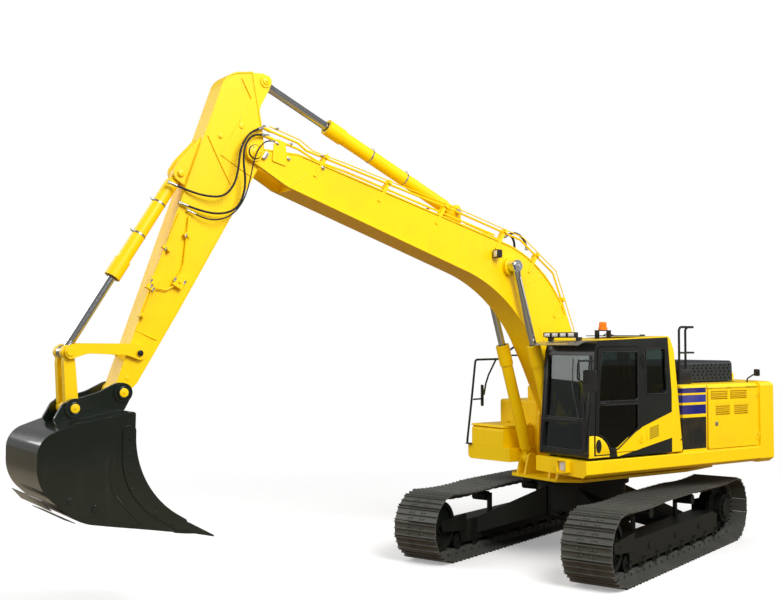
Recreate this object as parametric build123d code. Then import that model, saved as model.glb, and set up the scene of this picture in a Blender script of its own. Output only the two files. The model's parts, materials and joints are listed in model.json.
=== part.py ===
from build123d import *
import math
import os

# Crawler excavator of the 30 tonne class, parked with its boom raised.
# Lengths are in millimetres. X points forward along the boom, Y to the cab's
# side and Z up. While modelling, the origin is on the ground under the swing
# axis; the last section moves it to the middle of the finished machine.

# Clearances that every fit below takes its size from
pin_clearance = 0.3
seat_gap = 0.3
side_gap = 6.0
panel_gap = 6.0

# Undercarriage
track_turn = 18.7
track_gauge = 2590.0
shoe_width = 690.0
shoe_pitch = 203.0
shoe_thickness = 13.0
grouser_height = 26.0
link_height = 92.0
link_width = 52.0
link_spacing = 190.0
tumbler_spread = 4025.0
tumbler_radius = 451.0
track_sag = 26.0
roller_count = 8
roller_radius = 92.0
roller_flange = 20.0
carrier_radius = 72.0
carrier_spread = 1500.0
track_frame_width = 330.0
track_frame_height = 250.0
tower_radius = 640.0
tower_top = 1020.0
bearing_radius = 690.0
bearing_height = 88.0

# Revolving frame and body
deck_half_width = 1425.0
deck_top = 1505.0
skirt_bottom = 1285.0
floor_plate_bottom = tower_top + bearing_height + 2 * seat_gap
floor_plate_thickness = 40.0
web_inner = 286.0
web_thickness = 42.0
deck_inner = 455.0
deck_front = 1320.0
right_front = 1020.0
body_front = -610.0
counterweight_front = -2345.0
tail_radius = 3020.0
hood_top = 2465.0
right_body_top = 2300.0
body_side = 1392.0
door_panel_front = -1165.0
pump_door_front = -1200.0
door_panel_rear = -2300.0
door_panel_bottom = 1530.0
door_panel_top = 2392.0
door_panel_thickness = 34.0
door_panel_proud = 14.0
hinge_radius = 9.0
hinge_barrel = 44.0
hinge_stand_off = 10.0
louvre_slots = 5

# Boom, from its foot pin to its nose pin
boom_foot = (400.0, 2016.0)
boom_length = 6149.0
boom_angle = 32.76
boom_half_width = 210.0
boom_foot_half_width = 280.0
nose_half_width = 218.0
boom_foot_pin_radius = 55.0
nose_pin_radius = 50.0

# Arm, from the boom's nose pin to the bucket pin
arm_length = 3234.0
arm_angle = -60.46
arm_half_width = 168.0
fork_inner = 176.0
bucket_pin_radius = 42.0

# Linkage: pins on the arm and the bucket, in each one's own frame
rocker_pin = (arm_length - 471.0, 41.0)
link_pin = (577.0, 446.0)
bucket_link_pin = (535.0, -153.0)
link_pin_radius = 40.0
ear_inner = 176.0
ear_thickness = 50.0
bucket_width = 1200.0
bucket_wall = 26.0
tooth_count = 5

# Hydraulic cylinders: pins in the frame of the piece that carries them
boom_cylinder_foot = (753.0, 1365.0)
boom_cylinder_pin = (2139.0, 1144.0)
boom_cylinder_side = 336.0
arm_cylinder_foot = (3245.0, 1300.0)
arm_cylinder_pin = (-886.0, 264.0)
bucket_cylinder_foot = (710.0, 612.0)
cylinder_eye_half_width = 54.0
boom_rod_inside = 560.0
arm_rod_inside = 820.0
bucket_rod_inside = 620.0
tube_stand_off = 28.0
lug_radius = 90.0

# Cab
cab_front = 1262.0
cab_rear = -594.0
cab_left = 1412.0
cab_right = 462.0
cab_floor = deck_top + 30.0
cab_top = 3140.0
cab_wall = 55.0
door_front = 1150.0
door_rear = 262.0
door_bottom = 1600.0
door_top = 3010.0
door_thickness = 45.0
glass_thickness = 6.0


def turned(point, angle):
    """A point of the x-z plane turned up by an angle in degrees."""
    c = math.cos(math.radians(angle))
    s = math.sin(math.radians(angle))
    return (point[0] * c - point[1] * s, point[0] * s + point[1] * c)


def carried(origin, angle, point):
    """World place of a point given in the frame of a boom, arm or bucket."""
    x, z = turned(point, angle)
    return (origin[0] + x, origin[1] + z)


def frame_at(origin, angle):
    """Location of such a frame, to place solids modelled in it."""
    return Pos(origin[0], 0, origin[1]) * Rot(0, -angle, 0)


def rounded(corners):
    """Closed face from rows of x, z and corner radius."""
    edges = []
    ends = []
    count = len(corners)
    for i in range(count):
        x, z, radius = corners[i]
        before = Vector(*corners[i - 1][:2], 0)
        here = Vector(x, z, 0)
        after = Vector(*corners[(i + 1) % count][:2], 0)
        if radius == 0:
            ends.append((here, here, None))
            continue
        back = (before - here).normalized()
        ahead = (after - here).normalized()
        half = math.acos(max(-1.0, min(1.0, back.dot(ahead)))) / 2
        run = radius / math.tan(half)
        bisector = (back + ahead).normalized()
        middle = here + bisector * (radius / math.sin(half) - radius)
        ends.append((here + back * run, here + ahead * run, middle))
    for i in range(count):
        start, finish, middle = ends[i]
        if middle is not None:
            edges.append(ThreePointArc(start, middle, finish))
        following = ends[(i + 1) % count][0]
        if (following - finish).length > 0.01:
            edges.append(Line(finish, following))
    return Face(Wire(edges))


def side_slab(corners, y_low, y_high):
    """Plate whose outline is seen from the side, between two y planes."""
    plane = Plane(origin=(0, y_low, 0), x_dir=(1, 0, 0), z_dir=(0, -1, 0))
    return extrude(plane * rounded(corners), amount=y_high - y_low, dir=(0, 1, 0))


def plan_slab(corners, z_low, z_high):
    """Plate whose outline is seen from above, between two heights."""
    return extrude(Pos(0, 0, z_low) * rounded(corners), amount=z_high - z_low, dir=(0, 0, 1))


def front_slab(corners, x_low, x_high):
    """Plate whose outline (y, z) is seen from the front, between two x planes."""
    plane = Plane(origin=(x_low, 0, 0), x_dir=(0, 1, 0), z_dir=(1, 0, 0))
    return extrude(plane * rounded(corners), amount=x_high - x_low, dir=(1, 0, 0))


def block(x_low, x_high, y_low, y_high, z_low, z_high):
    """Rectangular block between its limits."""
    centre = ((x_low + x_high) / 2, (y_low + y_high) / 2, (z_low + z_high) / 2)
    return Pos(*centre) * Box(x_high - x_low, y_high - y_low, z_high - z_low)


def disc(x, z, radius, y_low, y_high):
    """Round boss, pin or hole along Y."""
    return Pos(x, (y_low + y_high) / 2, z) * Rot(90, 0, 0) * Cylinder(radius, y_high - y_low)


def column(x, y, radius, z_low, z_high):
    """Round post along Z."""
    return Pos(x, y, (z_low + z_high) / 2) * Cylinder(radius, z_high - z_low)


def bent_tube(points, radius, bend):
    """Round bar along straight runs with tangent bends."""
    path = FilletPolyline(*points, radius=bend) if len(points) > 2 else Line(*points)
    start = path @ 0
    section = Plane(origin=start, z_dir=path % 0) * Circle(radius)
    return sweep(section, path=path)


def both_sides(shape):
    """A shape and its mirror image across the machine's middle plane."""
    return shape + mirror(shape, about=Plane.XZ)


def joined(shapes):
    """One shape fused from a list."""
    return shapes[0] + shapes[1:]


def gathered(shapes, place=Pos(0, 0, 0)):
    """Separate solids kept together as one piece."""
    solids = []
    for shape in shapes:
        solids.extend((place * shape).solids())
    return Compound(children=solids)


def ordered(a, b):
    """Two limits, the lower one first."""
    return (min(a, b), max(a, b))


pieces = {}


# Track loops: a closed run of shoes on the round tumblers, with a slack top run
band_seat = 0.5
pitch_radius = tumbler_radius
shoe_rise = shoe_thickness + grouser_height
axle_height = pitch_radius + shoe_rise + band_seat
loop_length = 2 * tumbler_spread + 2 * math.pi * pitch_radius
shoe_count = round(loop_length / shoe_pitch)


def loop_point(distance):
    """Point of the shoes' inner face and its outward direction, along the loop."""
    arc = math.pi * pitch_radius
    s = distance % loop_length
    half = tumbler_spread / 2
    if s < tumbler_spread:
        return (-half + s, axle_height - pitch_radius), (0.0, -1.0)
    s -= tumbler_spread
    if s < arc:
        turn = -math.pi / 2 + s / pitch_radius
        out = (math.cos(turn), math.sin(turn))
        return (half + pitch_radius * out[0], axle_height + pitch_radius * out[1]), out
    s -= arc
    if s < tumbler_spread:
        x = half - s
        bay = (tumbler_spread - carrier_spread) / 2
        edge = half - abs(x)
        t = edge / bay if edge < bay else (edge - bay) / carrier_spread
        sag = 4 * track_sag * t * (1 - t) if edge < bay else 0.0
        return (x, axle_height + pitch_radius - sag), (0.0, 1.0)
    s -= tumbler_spread
    turn = math.pi / 2 + s / pitch_radius
    out = (math.cos(turn), math.sin(turn))
    return (-half + pitch_radius * out[0], axle_height + pitch_radius * out[1]), out


def shoe_joints(inset):
    """Places of the shoes' hinge lines, moved in by an inset."""
    joints = []
    for i in range(shoe_count):
        (x, z), out = loop_point(loop_length * i / shoe_count)
        joints.append((x - out[0] * inset, z - out[1] * inset))
    return joints


# Outline of one shoe: share of its length and height over the inner face
shoe_profile = [
    # along, height
    (0.02, shoe_thickness),
    (0.06, shoe_rise),
    (0.12, shoe_thickness),
    (0.46, shoe_thickness),
    (0.50, shoe_rise),
    (0.55, shoe_thickness),
    (0.86, shoe_thickness),
    (0.92, shoe_rise),
    (0.97, shoe_thickness),
]


def polygon_slab(points, y_low, y_high):
    """Plate from a closed run of plain points, seen from the side."""
    plane = Plane(origin=(0, y_low, 0), x_dir=(1, 0, 0), z_dir=(0, -1, 0))
    face = make_face(Polyline(*[(x, z, 0) for x, z in points], close=True).edges())
    return extrude(plane * face, amount=y_high - y_low, dir=(0, 1, 0))


def track_loop(side):
    """One track: its shoes as one closed band on two rows of links."""
    outer = []
    joints = shoe_joints(-band_seat)
    for i in range(shoe_count):
        x0, z0 = joints[i]
        x1, z1 = joints[(i + 1) % shoe_count]
        length = math.hypot(x1 - x0, z1 - z0)
        out = ((z1 - z0) / length, (x0 - x1) / length)
        for along, height in shoe_profile:
            x = x0 + (x1 - x0) * along + out[0] * height
            z = z0 + (z1 - z0) * along + out[1] * height
            outer.append((x, z))
    y = side * track_gauge / 2
    inner = shoe_joints(0)
    band = polygon_slab(outer, y - shoe_width / 2, y + shoe_width / 2)
    band = band - polygon_slab(inner, y - shoe_width / 2 - 1, y + shoe_width / 2 + 1)
    rim = shoe_joints(link_height)
    for row in (-1, 1):
        middle = y + row * link_spacing / 2
        rail = polygon_slab(shoe_joints(-1), middle - link_width / 2, middle + link_width / 2)
        rail = rail - polygon_slab(rim, middle - link_width / 2 - 1, middle + link_width / 2 + 1)
        band = band + rail
    return band


tread_radius = (pitch_radius - link_height) * math.cos(shoe_pitch / pitch_radius / 2) - seat_gap
rail_bottom = axle_height - pitch_radius + link_height
rail_roof = axle_height + pitch_radius - link_height
roller_axis = rail_bottom + seat_gap + roller_radius
roller_run = tumbler_spread - 2 * tread_radius - 160
carrier_axis = rail_roof - side_gap - carrier_radius
carrier_half_width = 120.0
frame_half_width = track_frame_width / 2
frame_wall = 18.0
frame_top = roller_axis + 8 + track_frame_height
drive_hub_length = 190.0


def idler(side):
    """Front idler wheel: a rim that runs under the rails and a centre guide rib."""
    y = side * track_gauge / 2
    x = tumbler_spread / 2
    wheel = disc(x, axle_height, tread_radius, y - 125, y + 125)
    wheel = wheel + disc(x, axle_height, tread_radius + 30, y - 62, y + 62)
    for face in (-1, 1):
        wheel = wheel - disc(x, axle_height, tread_radius - 55, y + face * 125 - 45, y + face * 125 + 45)
    wheel = wheel + disc(x, axle_height, 105, y - 125, y + 125)
    return wheel - disc(x, axle_height, 50 + pin_clearance, y - 130, y + 130)


def sprocket(side):
    """Rear sprocket with its teeth, on the round housing of the final drive."""
    y = side * track_gauge / 2
    x = -tumbler_spread / 2
    teeth = 21
    root = tread_radius - 6
    ring = []
    for i in range(teeth):
        for angle, radius in ((-4.2, root), (-1.9, root + 44), (1.9, root + 44), (4.2, root)):
            turn_by = math.radians(360.0 * i / teeth + angle)
            ring.append((x + radius * math.cos(turn_by), axle_height + radius * math.sin(turn_by)))
    wheel = polygon_slab(ring, y - 34, y + 34)
    out = side * 1.0
    drum = disc(x, axle_height, 215, min(y, y + out * 150), max(y, y + out * 150))
    cap = disc(x, axle_height, 150, min(y + out * 149, y + out * 185), max(y + out * 149, y + out * 185))
    hub_end = y - out * drive_hub_length
    hub = disc(x, axle_height, 245, min(hub_end, y), max(hub_end, y))
    return joined([wheel, drum, cap, hub])


def rollers(side):
    """Lower track rollers: flanged drums on shafts between the frame's side plates."""
    y = side * track_gauge / 2
    shaft_end = frame_half_width - frame_wall - seat_gap
    drums = []
    for i in range(roller_count):
        x = -roller_run / 2 + roller_run * i / (roller_count - 1)
        drum = disc(x, roller_axis, roller_radius, y - 130, y + 130)
        drum = drum + disc(x, roller_axis, 28, y - shaft_end, y + shaft_end)
        for row in (-1, 1):
            flange = y + row * (link_spacing / 2 + link_width / 2 + 8)
            drum = drum + disc(x, roller_axis, roller_radius + roller_flange, flange - 6, flange + 6)
        drums.append(drum)
    return drums


def carriers(side):
    """Upper carrier rollers, each on a stub axle from the track frame."""
    y = side * track_gauge / 2
    drums = []
    for end in (-1, 1):
        x = end * carrier_spread / 2
        drums.append(disc(x, carrier_axis, carrier_radius, y - carrier_half_width, y + carrier_half_width))
    return drums


def track_frame(side):
    """Box beam between idler and sprocket, with roller brackets and guards."""
    y = side * track_gauge / 2
    half = frame_half_width
    front = tumbler_spread / 2
    rear_end = -front + tread_radius + 70
    beam = side_slab([
        (rear_end, roller_axis + roller_radius + 26, 0),
        (front - 420, roller_axis + roller_radius + 26, 0),
        (front - 420, frame_top, 0),
        (front - 520, frame_top + 30, 60),
        (-front + 560, frame_top + 30, 60),
        (rear_end, frame_top - 30, 0),
    ], y - half, y + half)
    skirt_low = roller_axis - 30
    skirts = []
    for face in (-1, 1):
        plate_y = y + face * (half - frame_wall / 2)
        skirts.append(side_slab([
            (-front + 420, skirt_low, 40),
            (front - 470, skirt_low, 40),
            (front - 430, frame_top - 20, 0),
            (-front + 380, frame_top - 20, 0),
        ], plate_y - frame_wall / 2, plate_y + frame_wall / 2))
    guard = []
    for face in (-1, 1):
        plate_y = y + face * (half + 12)
        guard.append(side_slab([
            (front - 560, axle_height - 120, 0),
            (front + 60, axle_height - 70, 60),
            (front + 60, axle_height + 70, 60),
            (front - 560, axle_height + 120, 0),
        ], plate_y - 12 - seat_gap, plate_y + 12))
    shaft = disc(front, axle_height, 50, y - half - 20, y + half + 20)
    bracket_near = y - side * (drive_hub_length + seat_gap)
    bracket_far = bracket_near - side * 30
    drive = side_slab([
        (-front - 120, axle_height - 120, 90),
        (-front + 430, axle_height - 110, 0),
        (-front + 430, axle_height + 150, 0),
        (-front - 120, axle_height + 130, 90),
    ], *ordered(bracket_near, bracket_far))
    rib = block(-front + 340, -front + 560, *ordered(bracket_near, y - side * (half - 5)),
                axle_height - 110, axle_height - 20)
    posts = []
    for end in (-1, 1):
        x = end * carrier_spread / 2
        inner = y - side * (carrier_half_width + 30)
        posts.append(disc(x, carrier_axis, 30, *ordered(inner, y - side * (carrier_half_width + seat_gap))))
        posts.append(block(x - 45, x + 45, inner - 18, inner + 18, frame_top, carrier_axis + 45))
    return joined([beam] + skirts + guard + [shaft, drive, rib] + posts)


def centre_frame():
    """Carrier body: a round tower on four box legs that reach the track frames."""
    tower = column(0, 0, tower_radius, 560, tower_top)
    tower = tower + Pos(0, 0, 520) * Cone(480, tower_radius, 80)
    legs = []
    reach = track_gauge / 2 - track_frame_width / 2 + 20
    for end in (-1, 1):
        for side in (-1, 1):
            foot_face = Plane(origin=(end * 900, side * reach, frame_top - 95), x_dir=(1, 0, 0), z_dir=(0, side, 0))
            root_face = Plane(origin=(end * 260, side * 260, 780), x_dir=(1, 0, 0), z_dir=(0, side, 0))
            foot = foot_face * Rectangle(460, 230)
            root = root_face * Rectangle(700, 400)
            legs.append(loft([root.face(), foot.face()]))
    return joined([tower] + legs)


turn = Rot(0, 0, track_turn)
frames = centre_frame()
for side in (-1, 1):
    frames = frames + track_frame(side)
pieces["undercarriage_frame"] = turn * frames
for side, name in ((1, "left"), (-1, "right")):
    pieces["track_" + name] = turn * track_loop(side)
pieces["idlers"] = gathered([idler(1), idler(-1)], turn)
pieces["sprockets"] = gathered([sprocket(1), sprocket(-1)], turn)
pieces["track_rollers"] = gathered(rollers(1) + rollers(-1), turn)
pieces["carrier_rollers"] = gathered(carriers(1) + carriers(-1), turn)
ring = column(0, 0, bearing_radius, tower_top + seat_gap, tower_top + seat_gap + bearing_height)
pieces["swing_bearing"] = ring - column(0, 0, bearing_radius - 160, tower_top - 10, tower_top + bearing_height + 10)


# Revolving frame: floor plate on the bearing, two tall webs with the boom's
# foot between them, cross beams and the decks with their side skirts
def revolving_frame():
    low = floor_plate_bottom
    top = low + floor_plate_thickness
    rear = counterweight_front + seat_gap
    floor = plan_slab([
        (rear, -520, 0), (-1500, -720, 0), (700, -720, 0), (960, -470, 60),
        (960, 470, 60), (700, 720, 0), (-1500, 720, 0), (rear, 520, 0),
    ], low, top)
    foot_x, foot_z = boom_foot
    parts = [floor]
    web = [
        (rear, top - 1, 0), (600, top - 1, 0), (600, 1480, 0),
        (foot_x + 170, foot_z, 120), (foot_x + 60, foot_z + 165, 100),
        (foot_x - 130, foot_z + 150, 100), (-700, 1500, 200), (rear, 1420, 0),
    ]
    for side in (-1, 1):
        y_low, y_high = ordered(side * web_inner, side * (web_inner + web_thickness))
        parts.append(side_slab(web, y_low, y_high))
        boss_low, boss_high = ordered(side * web_inner, side * (web_inner + web_thickness + 22))
        parts.append(disc(foot_x, foot_z, 150, boss_low, boss_high))
    x, z = boom_cylinder_foot
    eye_low = boom_cylinder_side - cylinder_eye_half_width - side_gap
    eye_high = boom_cylinder_side + cylinder_eye_half_width + side_gap
    ear = [(x - 150, top - 1, 0), (x + 150, top - 1, 0), (x + 90, z, 60), (x + 90, z + 90, 89),
           (x - 90, z + 90, 89), (x - 90, z, 60)]
    for side in (-1, 1):
        for near, far in ((eye_low - 38, eye_low), (eye_high, eye_high + 38)):
            y_low, y_high = ordered(side * near, side * far)
            parts.append(side_slab(ear, y_low, y_high))
        y_low, y_high = ordered(side * (eye_low - 38), side * (eye_high + 50))
        parts.append(disc(x, z, 45, y_low, y_high))
    parts.append(disc(foot_x, foot_z, boom_foot_pin_radius, -web_inner - 60, web_inner + 60))
    for beam_x in (boom_cylinder_foot[0], 0, -900, -1800):
        for side in (-1, 1):
            start = eye_high + 30 if beam_x == boom_cylinder_foot[0] else web_inner + 20
            y_low, y_high = ordered(side * start, side * (deck_inner + 20))
            parts.append(block(beam_x - 80, beam_x + 80, y_low, y_high, skirt_bottom + 60, deck_top - 40))
    return joined(parts)


def deck(side, front, inner):
    """Deck of one side, with its skirt rounded under at the outer edge."""
    edge = side * deck_half_width
    root = side * inner
    section = [(root, deck_top, 0), (root, skirt_bottom + 20, 0), (edge - side * 60, skirt_bottom, 0),
               (edge, skirt_bottom + 45, 20), (edge, deck_top, 12)]
    return front_slab(section, counterweight_front + seat_gap, front)


decks = [deck(1, deck_front, deck_inner), deck(-1, right_front, deck_inner)]
pieces["revolving_frame"] = revolving_frame() + decks


# Counterweight: a cast block whose rear is an arc about the swing axis
def counterweight():
    side = deck_half_width - 8
    corner_x = -math.sqrt(tail_radius ** 2 - side ** 2)
    edges = [
        Line((counterweight_front, -side), (counterweight_front, side)),
        Line((counterweight_front, side), (corner_x, side)),
        ThreePointArc((corner_x, side), (-tail_radius, 0), (corner_x, -side)),
        Line((corner_x, -side), (counterweight_front, -side)),
    ]
    face = make_face(Wire(edges).edges())
    body = extrude(Pos(0, 0, skirt_bottom - 20) * face, amount=hood_top + 12 - skirt_bottom + 20, dir=(0, 0, 1))
    top_edges = body.edges().filter_by(lambda e: e.center().Z > hood_top and e.center().X < counterweight_front - 5)
    body = fillet(top_edges, 70)
    low_edges = body.edges().filter_by(lambda e: e.center().Z < skirt_bottom and e.center().X < counterweight_front - 5)
    body = chamfer(low_edges, 60)
    notch = block(counterweight_front - 300, counterweight_front + 1, -700, 700, skirt_bottom - 40, deck_top + 100)
    tow = block(-tail_radius - 50, -tail_radius + 190, -110, 110, skirt_bottom + 190, skirt_bottom + 330)
    return body - notch - tow


pieces["counterweight"] = counterweight()


# Hinges of doors and lids: two barrels on one line, the lower one on the door
def hinge_half(line, places, leaf, on_door):
    """Barrels of a row of hinges, each with the leaf that joins it to its wall.

    line is a plane with the hinge line as its z axis, leaf is (x low, x high, y low, y high) in it.
    """
    halves = []
    for place in places:
        low, high = (place - hinge_barrel, place) if on_door else (place + seat_gap, place + hinge_barrel)
        strip = block(leaf[0], leaf[1], leaf[2], leaf[3], low, high)
        barrel = Pos(0, 0, (low + high) / 2) * Cylinder(hinge_radius, high - low)
        halves.append(line * (barrel + strip))
    return halves


door_leaf = (0, 40, -hinge_stand_off - 0.5, -3)
wall_leaf = (-34, -3, -hinge_stand_off - door_panel_proud - 1, -3)
side_hinge_y = body_side + door_panel_proud + hinge_stand_off
cooling_hinge = Plane(origin=(door_panel_rear - 2, side_hinge_y, 0), x_dir=(1, 0, 0), z_dir=(0, 0, 1))
pump_hinge = Plane(origin=(pump_door_front + 2, -side_hinge_y, 0), x_dir=(-1, 0, 0), z_dir=(0, 0, 1))
side_hinge_levels = [door_panel_bottom + 130, door_panel_top - 90]


# Body panels: left cooling room, right pump room, tanks and the tool box
def left_body():
    section = [(960, deck_top + seat_gap, 0), (body_side, deck_top + seat_gap, 0), (body_side, hood_top - 60, 0),
               (1340, hood_top, 55), (960, hood_top, 0)]
    body = front_slab(section, counterweight_front + 6, body_front)
    recess = block(door_panel_rear - 8, door_panel_front + 8, 1362, 1400, door_panel_bottom - 8, door_panel_top + 8)
    return body - recess + hinge_half(cooling_hinge, side_hinge_levels, wall_leaf, False)


pieces["left_body"] = left_body()


def louvred_door(side, front, rear, louvres, line):
    """Side door of the body: a flat pressing with rows of open slots."""
    face = body_side + door_panel_proud
    y_low, y_high = ordered(side * face, side * (face - door_panel_thickness))
    panel = side_slab([(rear, door_panel_bottom, 30), (front, door_panel_bottom, 30),
                       (front, door_panel_top, 30), (rear, door_panel_top, 30)], y_low, y_high)
    slots = []
    for x, z, width, height in louvres:
        pitch = height / louvre_slots
        for i in range(louvre_slots):
            level = z - height / 2 + pitch * (i + 0.5)
            slots.append(block(x - width / 2, x + width / 2, y_low - 1, y_high + 1,
                               level - pitch * 0.28, level + pitch * 0.28))
    return panel - slots + hinge_half(line, side_hinge_levels, door_leaf, True)


louvre_rows = [
    # x, z, width, height
    (-1410, 2300, 390, 130),
    (-1850, 2300, 390, 130),
    (-1490, 2080, 330, 150),
    (-1910, 2080, 330, 150),
]
pieces["cooling_door"] = louvred_door(1, door_panel_front, door_panel_rear, louvre_rows, cooling_hinge)


def right_body():
    section = [(-960, deck_top + seat_gap, 0), (-body_side, deck_top + seat_gap, 0), (-body_side, hood_top - 60, 0),
               (-1340, hood_top, 55), (-960, hood_top, 0)]
    body = front_slab(section, counterweight_front + 6, -1150)
    recess = block(door_panel_rear - 8, pump_door_front + 8, -1400, -1362, door_panel_bottom - 8, door_panel_top + 8)
    return body - recess + hinge_half(pump_hinge, side_hinge_levels, wall_leaf, False)


pieces["pump_room"] = right_body()
pump_louvres = [(-1550, 2250, 390, 150), (-1990, 2250, 390, 150)]
pieces["pump_door"] = louvred_door(-1, pump_door_front, door_panel_rear, pump_louvres, pump_hinge)


def tank(x_low, x_high, y_low, y_high, top, edge):
    """Welded tank with rounded edges on its top and uprights."""
    body = block(x_low, x_high, y_low, y_high, deck_top + seat_gap, top)
    upright = body.edges().filter_by(Axis.Z)
    body = fillet(upright, edge)
    return fillet(body.faces().sort_by(Axis.Z)[-1].edges(), edge * 0.6)


hydraulic = tank(-1140, -450, -body_side, -470, right_body_top, 60)
pieces["hydraulic_tank"] = hydraulic + column(-640, -700, 90, right_body_top - 1, right_body_top + 60)
fuel = tank(-440, 420, -body_side, -480, 2180, 60)
fuel = fuel + block(60, 380, -760, -560, 2179, 2400)
pieces["fuel_tank"] = fuel + column(250, -1180, 62, 2179, 2225)


tool_box_top = 1790.0
lid_top = 1826.0
lid_rear = 449.0
lid_hinge = Plane(origin=(lid_rear - 12, 0, lid_top + hinge_stand_off), x_dir=(1, 0, 0), z_dir=(0, -1, 0))


def tool_box():
    """Front right box with its lid seat, on the deck's nose."""
    body = side_slab([(430, deck_top + seat_gap, 0), (right_front, deck_top + seat_gap, 0),
                      (right_front, tool_box_top, 50), (430, tool_box_top, 0)], -1330, -590)
    cavity = block(490, 960, -1280, -640, 1560, tool_box_top + 10)
    return body - cavity + hinge_half(lid_hinge, [700, 1200], (-6, 6, tool_box_top - 1 - lid_top - hinge_stand_off, 0), False)


pieces["tool_box"] = tool_box()
lid_low = tool_box_top + panel_gap
lid = side_slab([(lid_rear, lid_low, 0), (right_front + 6, lid_low, 0), (right_front + 6, lid_top, 20),
                 (lid_rear, lid_top, 0)], -1334, -586)
pieces["tool_box_lid"] = lid + hinge_half(lid_hinge, [700, 1200], door_leaf, True)


# Engine room: base ledge, raised perforated cover and the engine inside
cover_low = hood_top + 14 + panel_gap
cover_top = 2790.0
cover_front = -1100.0
cover_hole_rows = 5
cover_hole_radius = 17.0
cover_hinge = Plane(origin=(0, -650, cover_low + 4), x_dir=(0, 1, 0), z_dir=(1, 0, 0))
cover_hinge_places = [-2060, -1360]


def engine_base():
    ledge = block(-2330, -1160, -950, 952, hood_top - 40, hood_top + 14)
    ledge = ledge - block(-2230, -1260, -560, 860, hood_top - 50, hood_top + 20)
    wall = block(-1160 - 30, -1160, -950, 952, deck_top + seat_gap, hood_top - 39)
    leaf = (-40, 0, -4 - panel_gap - 0.5, -3)
    return ledge + wall + hinge_half(cover_hinge, cover_hinge_places, leaf, False)


def engine_cover():
    """Hinged cover of the engine room, with rows of round holes in its sides."""
    outer = front_slab([(-640, cover_low, 0), (944, cover_low, 0), (930, cover_top, 60), (-620, cover_top, 60)],
                       -2310, cover_front)
    inner = front_slab([(-610, cover_low - 5, 0), (914, cover_low - 5, 0), (902, cover_top - 26, 40),
                        (-592, cover_top - 26, 40)], -2284, cover_front - 26)
    shell = outer - inner
    holes = []
    for row in range(cover_hole_rows):
        for i in range(9):
            x = -2235 + 100 * i + (row % 2) * 30
            holes.append(disc(x, cover_low + 42 + 50 * row, cover_hole_radius, -700, 1000))
    return shell - holes + hinge_half(cover_hinge, cover_hinge_places, (0, 16, -3, 5), True)


pieces["engine_hood"] = engine_base()
pieces["engine_cover"] = engine_cover()
sump = block(-2000, -1500, -web_inner + 20, web_inner - 20, floor_plate_bottom + floor_plate_thickness + seat_gap, 1621)
pieces["engine"] = block(-2200, -1350, -560, 620, 1620, 2280) + sump
front_cover = block(-1150, body_front, 465, 952, deck_top + seat_gap, hood_top - 25)
pieces["battery_room"] = front_cover - side_slab([(-1200, 2000, 0), (-1000, 2500, 0), (-1200, 2500, 0)], 400, 1000)


# Cab: a hollow shell of one outline, cut for its windows and door
def cab_outline(inset):
    i = inset
    return [
        (cab_front - i, cab_floor + i, 40), (cab_front - 20 - i, 1850, 300), (1140 - i, 2950, 200),
        (1085 - i, cab_top - 30 - i, 70), (-330 + i, cab_top + 25 - i, 90), (-425 + i, 2960, 200),
        (cab_rear + i, cab_floor + i, 50),
    ]


def window_prisms(gap):
    """One prism through the wall for each window, its outline moved in by a gap."""
    wall = cab_wall + 30
    prisms = []
    for corners, y_low, y_high in side_windows:
        plane = Plane(origin=(0, y_low, 0), x_dir=(1, 0, 0), z_dir=(0, -1, 0))
        face = offset(rounded(corners), amount=-gap) if gap else rounded(corners)
        prisms.append(extrude(plane * face, amount=y_high - y_low, dir=(0, 1, 0)))
    for corners, x_low, x_high in end_windows:
        plane = Plane(origin=(x_low, 0, 0), x_dir=(0, 1, 0), z_dir=(1, 0, 0))
        face = offset(rounded(corners), amount=-gap) if gap else rounded(corners)
        prisms.append(extrude(plane * face, amount=x_high - x_low, dir=(1, 0, 0)))
    face = offset(rounded(roof_window), amount=-gap) if gap else rounded(roof_window)
    prisms.append(extrude(Pos(0, 0, cab_top - wall) * face, amount=2 * wall, dir=(0, 0, 1)))
    return prisms


side_windows = [
    # corners as x, z and radius, low y, high y
    ([(-270, 2360, 60), (150, 2360, 60), (150, 2985, 60), (-235, 2985, 60)], cab_left - 70, cab_left + 20),
    ([(-360, 1900, 60), (1060, 1900, 60), (1000, 2960, 60), (-270, 2960, 60)], cab_right - 20, cab_right + 70),
]
end_windows = [
    # corners as y, z and radius, low x, high x
    ([(545, 2060, 40), (1330, 2060, 40), (1330, 2900, 40), (545, 2900, 40)], 1000, 1400),
    ([(545, 1640, 40), (1330, 1640, 40), (1330, 1985, 40), (545, 1985, 40)], 1000, 1400),
    ([(560, 2180, 60), (1315, 2180, 60), (1290, 2990, 60), (585, 2990, 60)], -700, -250),
]
roof_window = [(20, 620, 60), (470, 620, 60), (470, 1250, 60), (20, 1250, 60)]
door_opening = [(door_rear - 8, door_bottom - 8, 60), (door_front + 8, door_bottom - 8, 40),
                (door_front - 62, door_top + 8, 60), (door_rear - 8, door_top + 8, 60)]
pane_depth = 24.0


door_outer = cab_left + 8
cab_hinge_y = door_outer + hinge_stand_off
cab_hinge = Plane(origin=(door_rear - 6, cab_hinge_y, 0), x_dir=(1, 0, 0), z_dir=(0, 0, 1))
cab_hinge_levels = [door_bottom + 150, door_top - 190]


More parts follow.
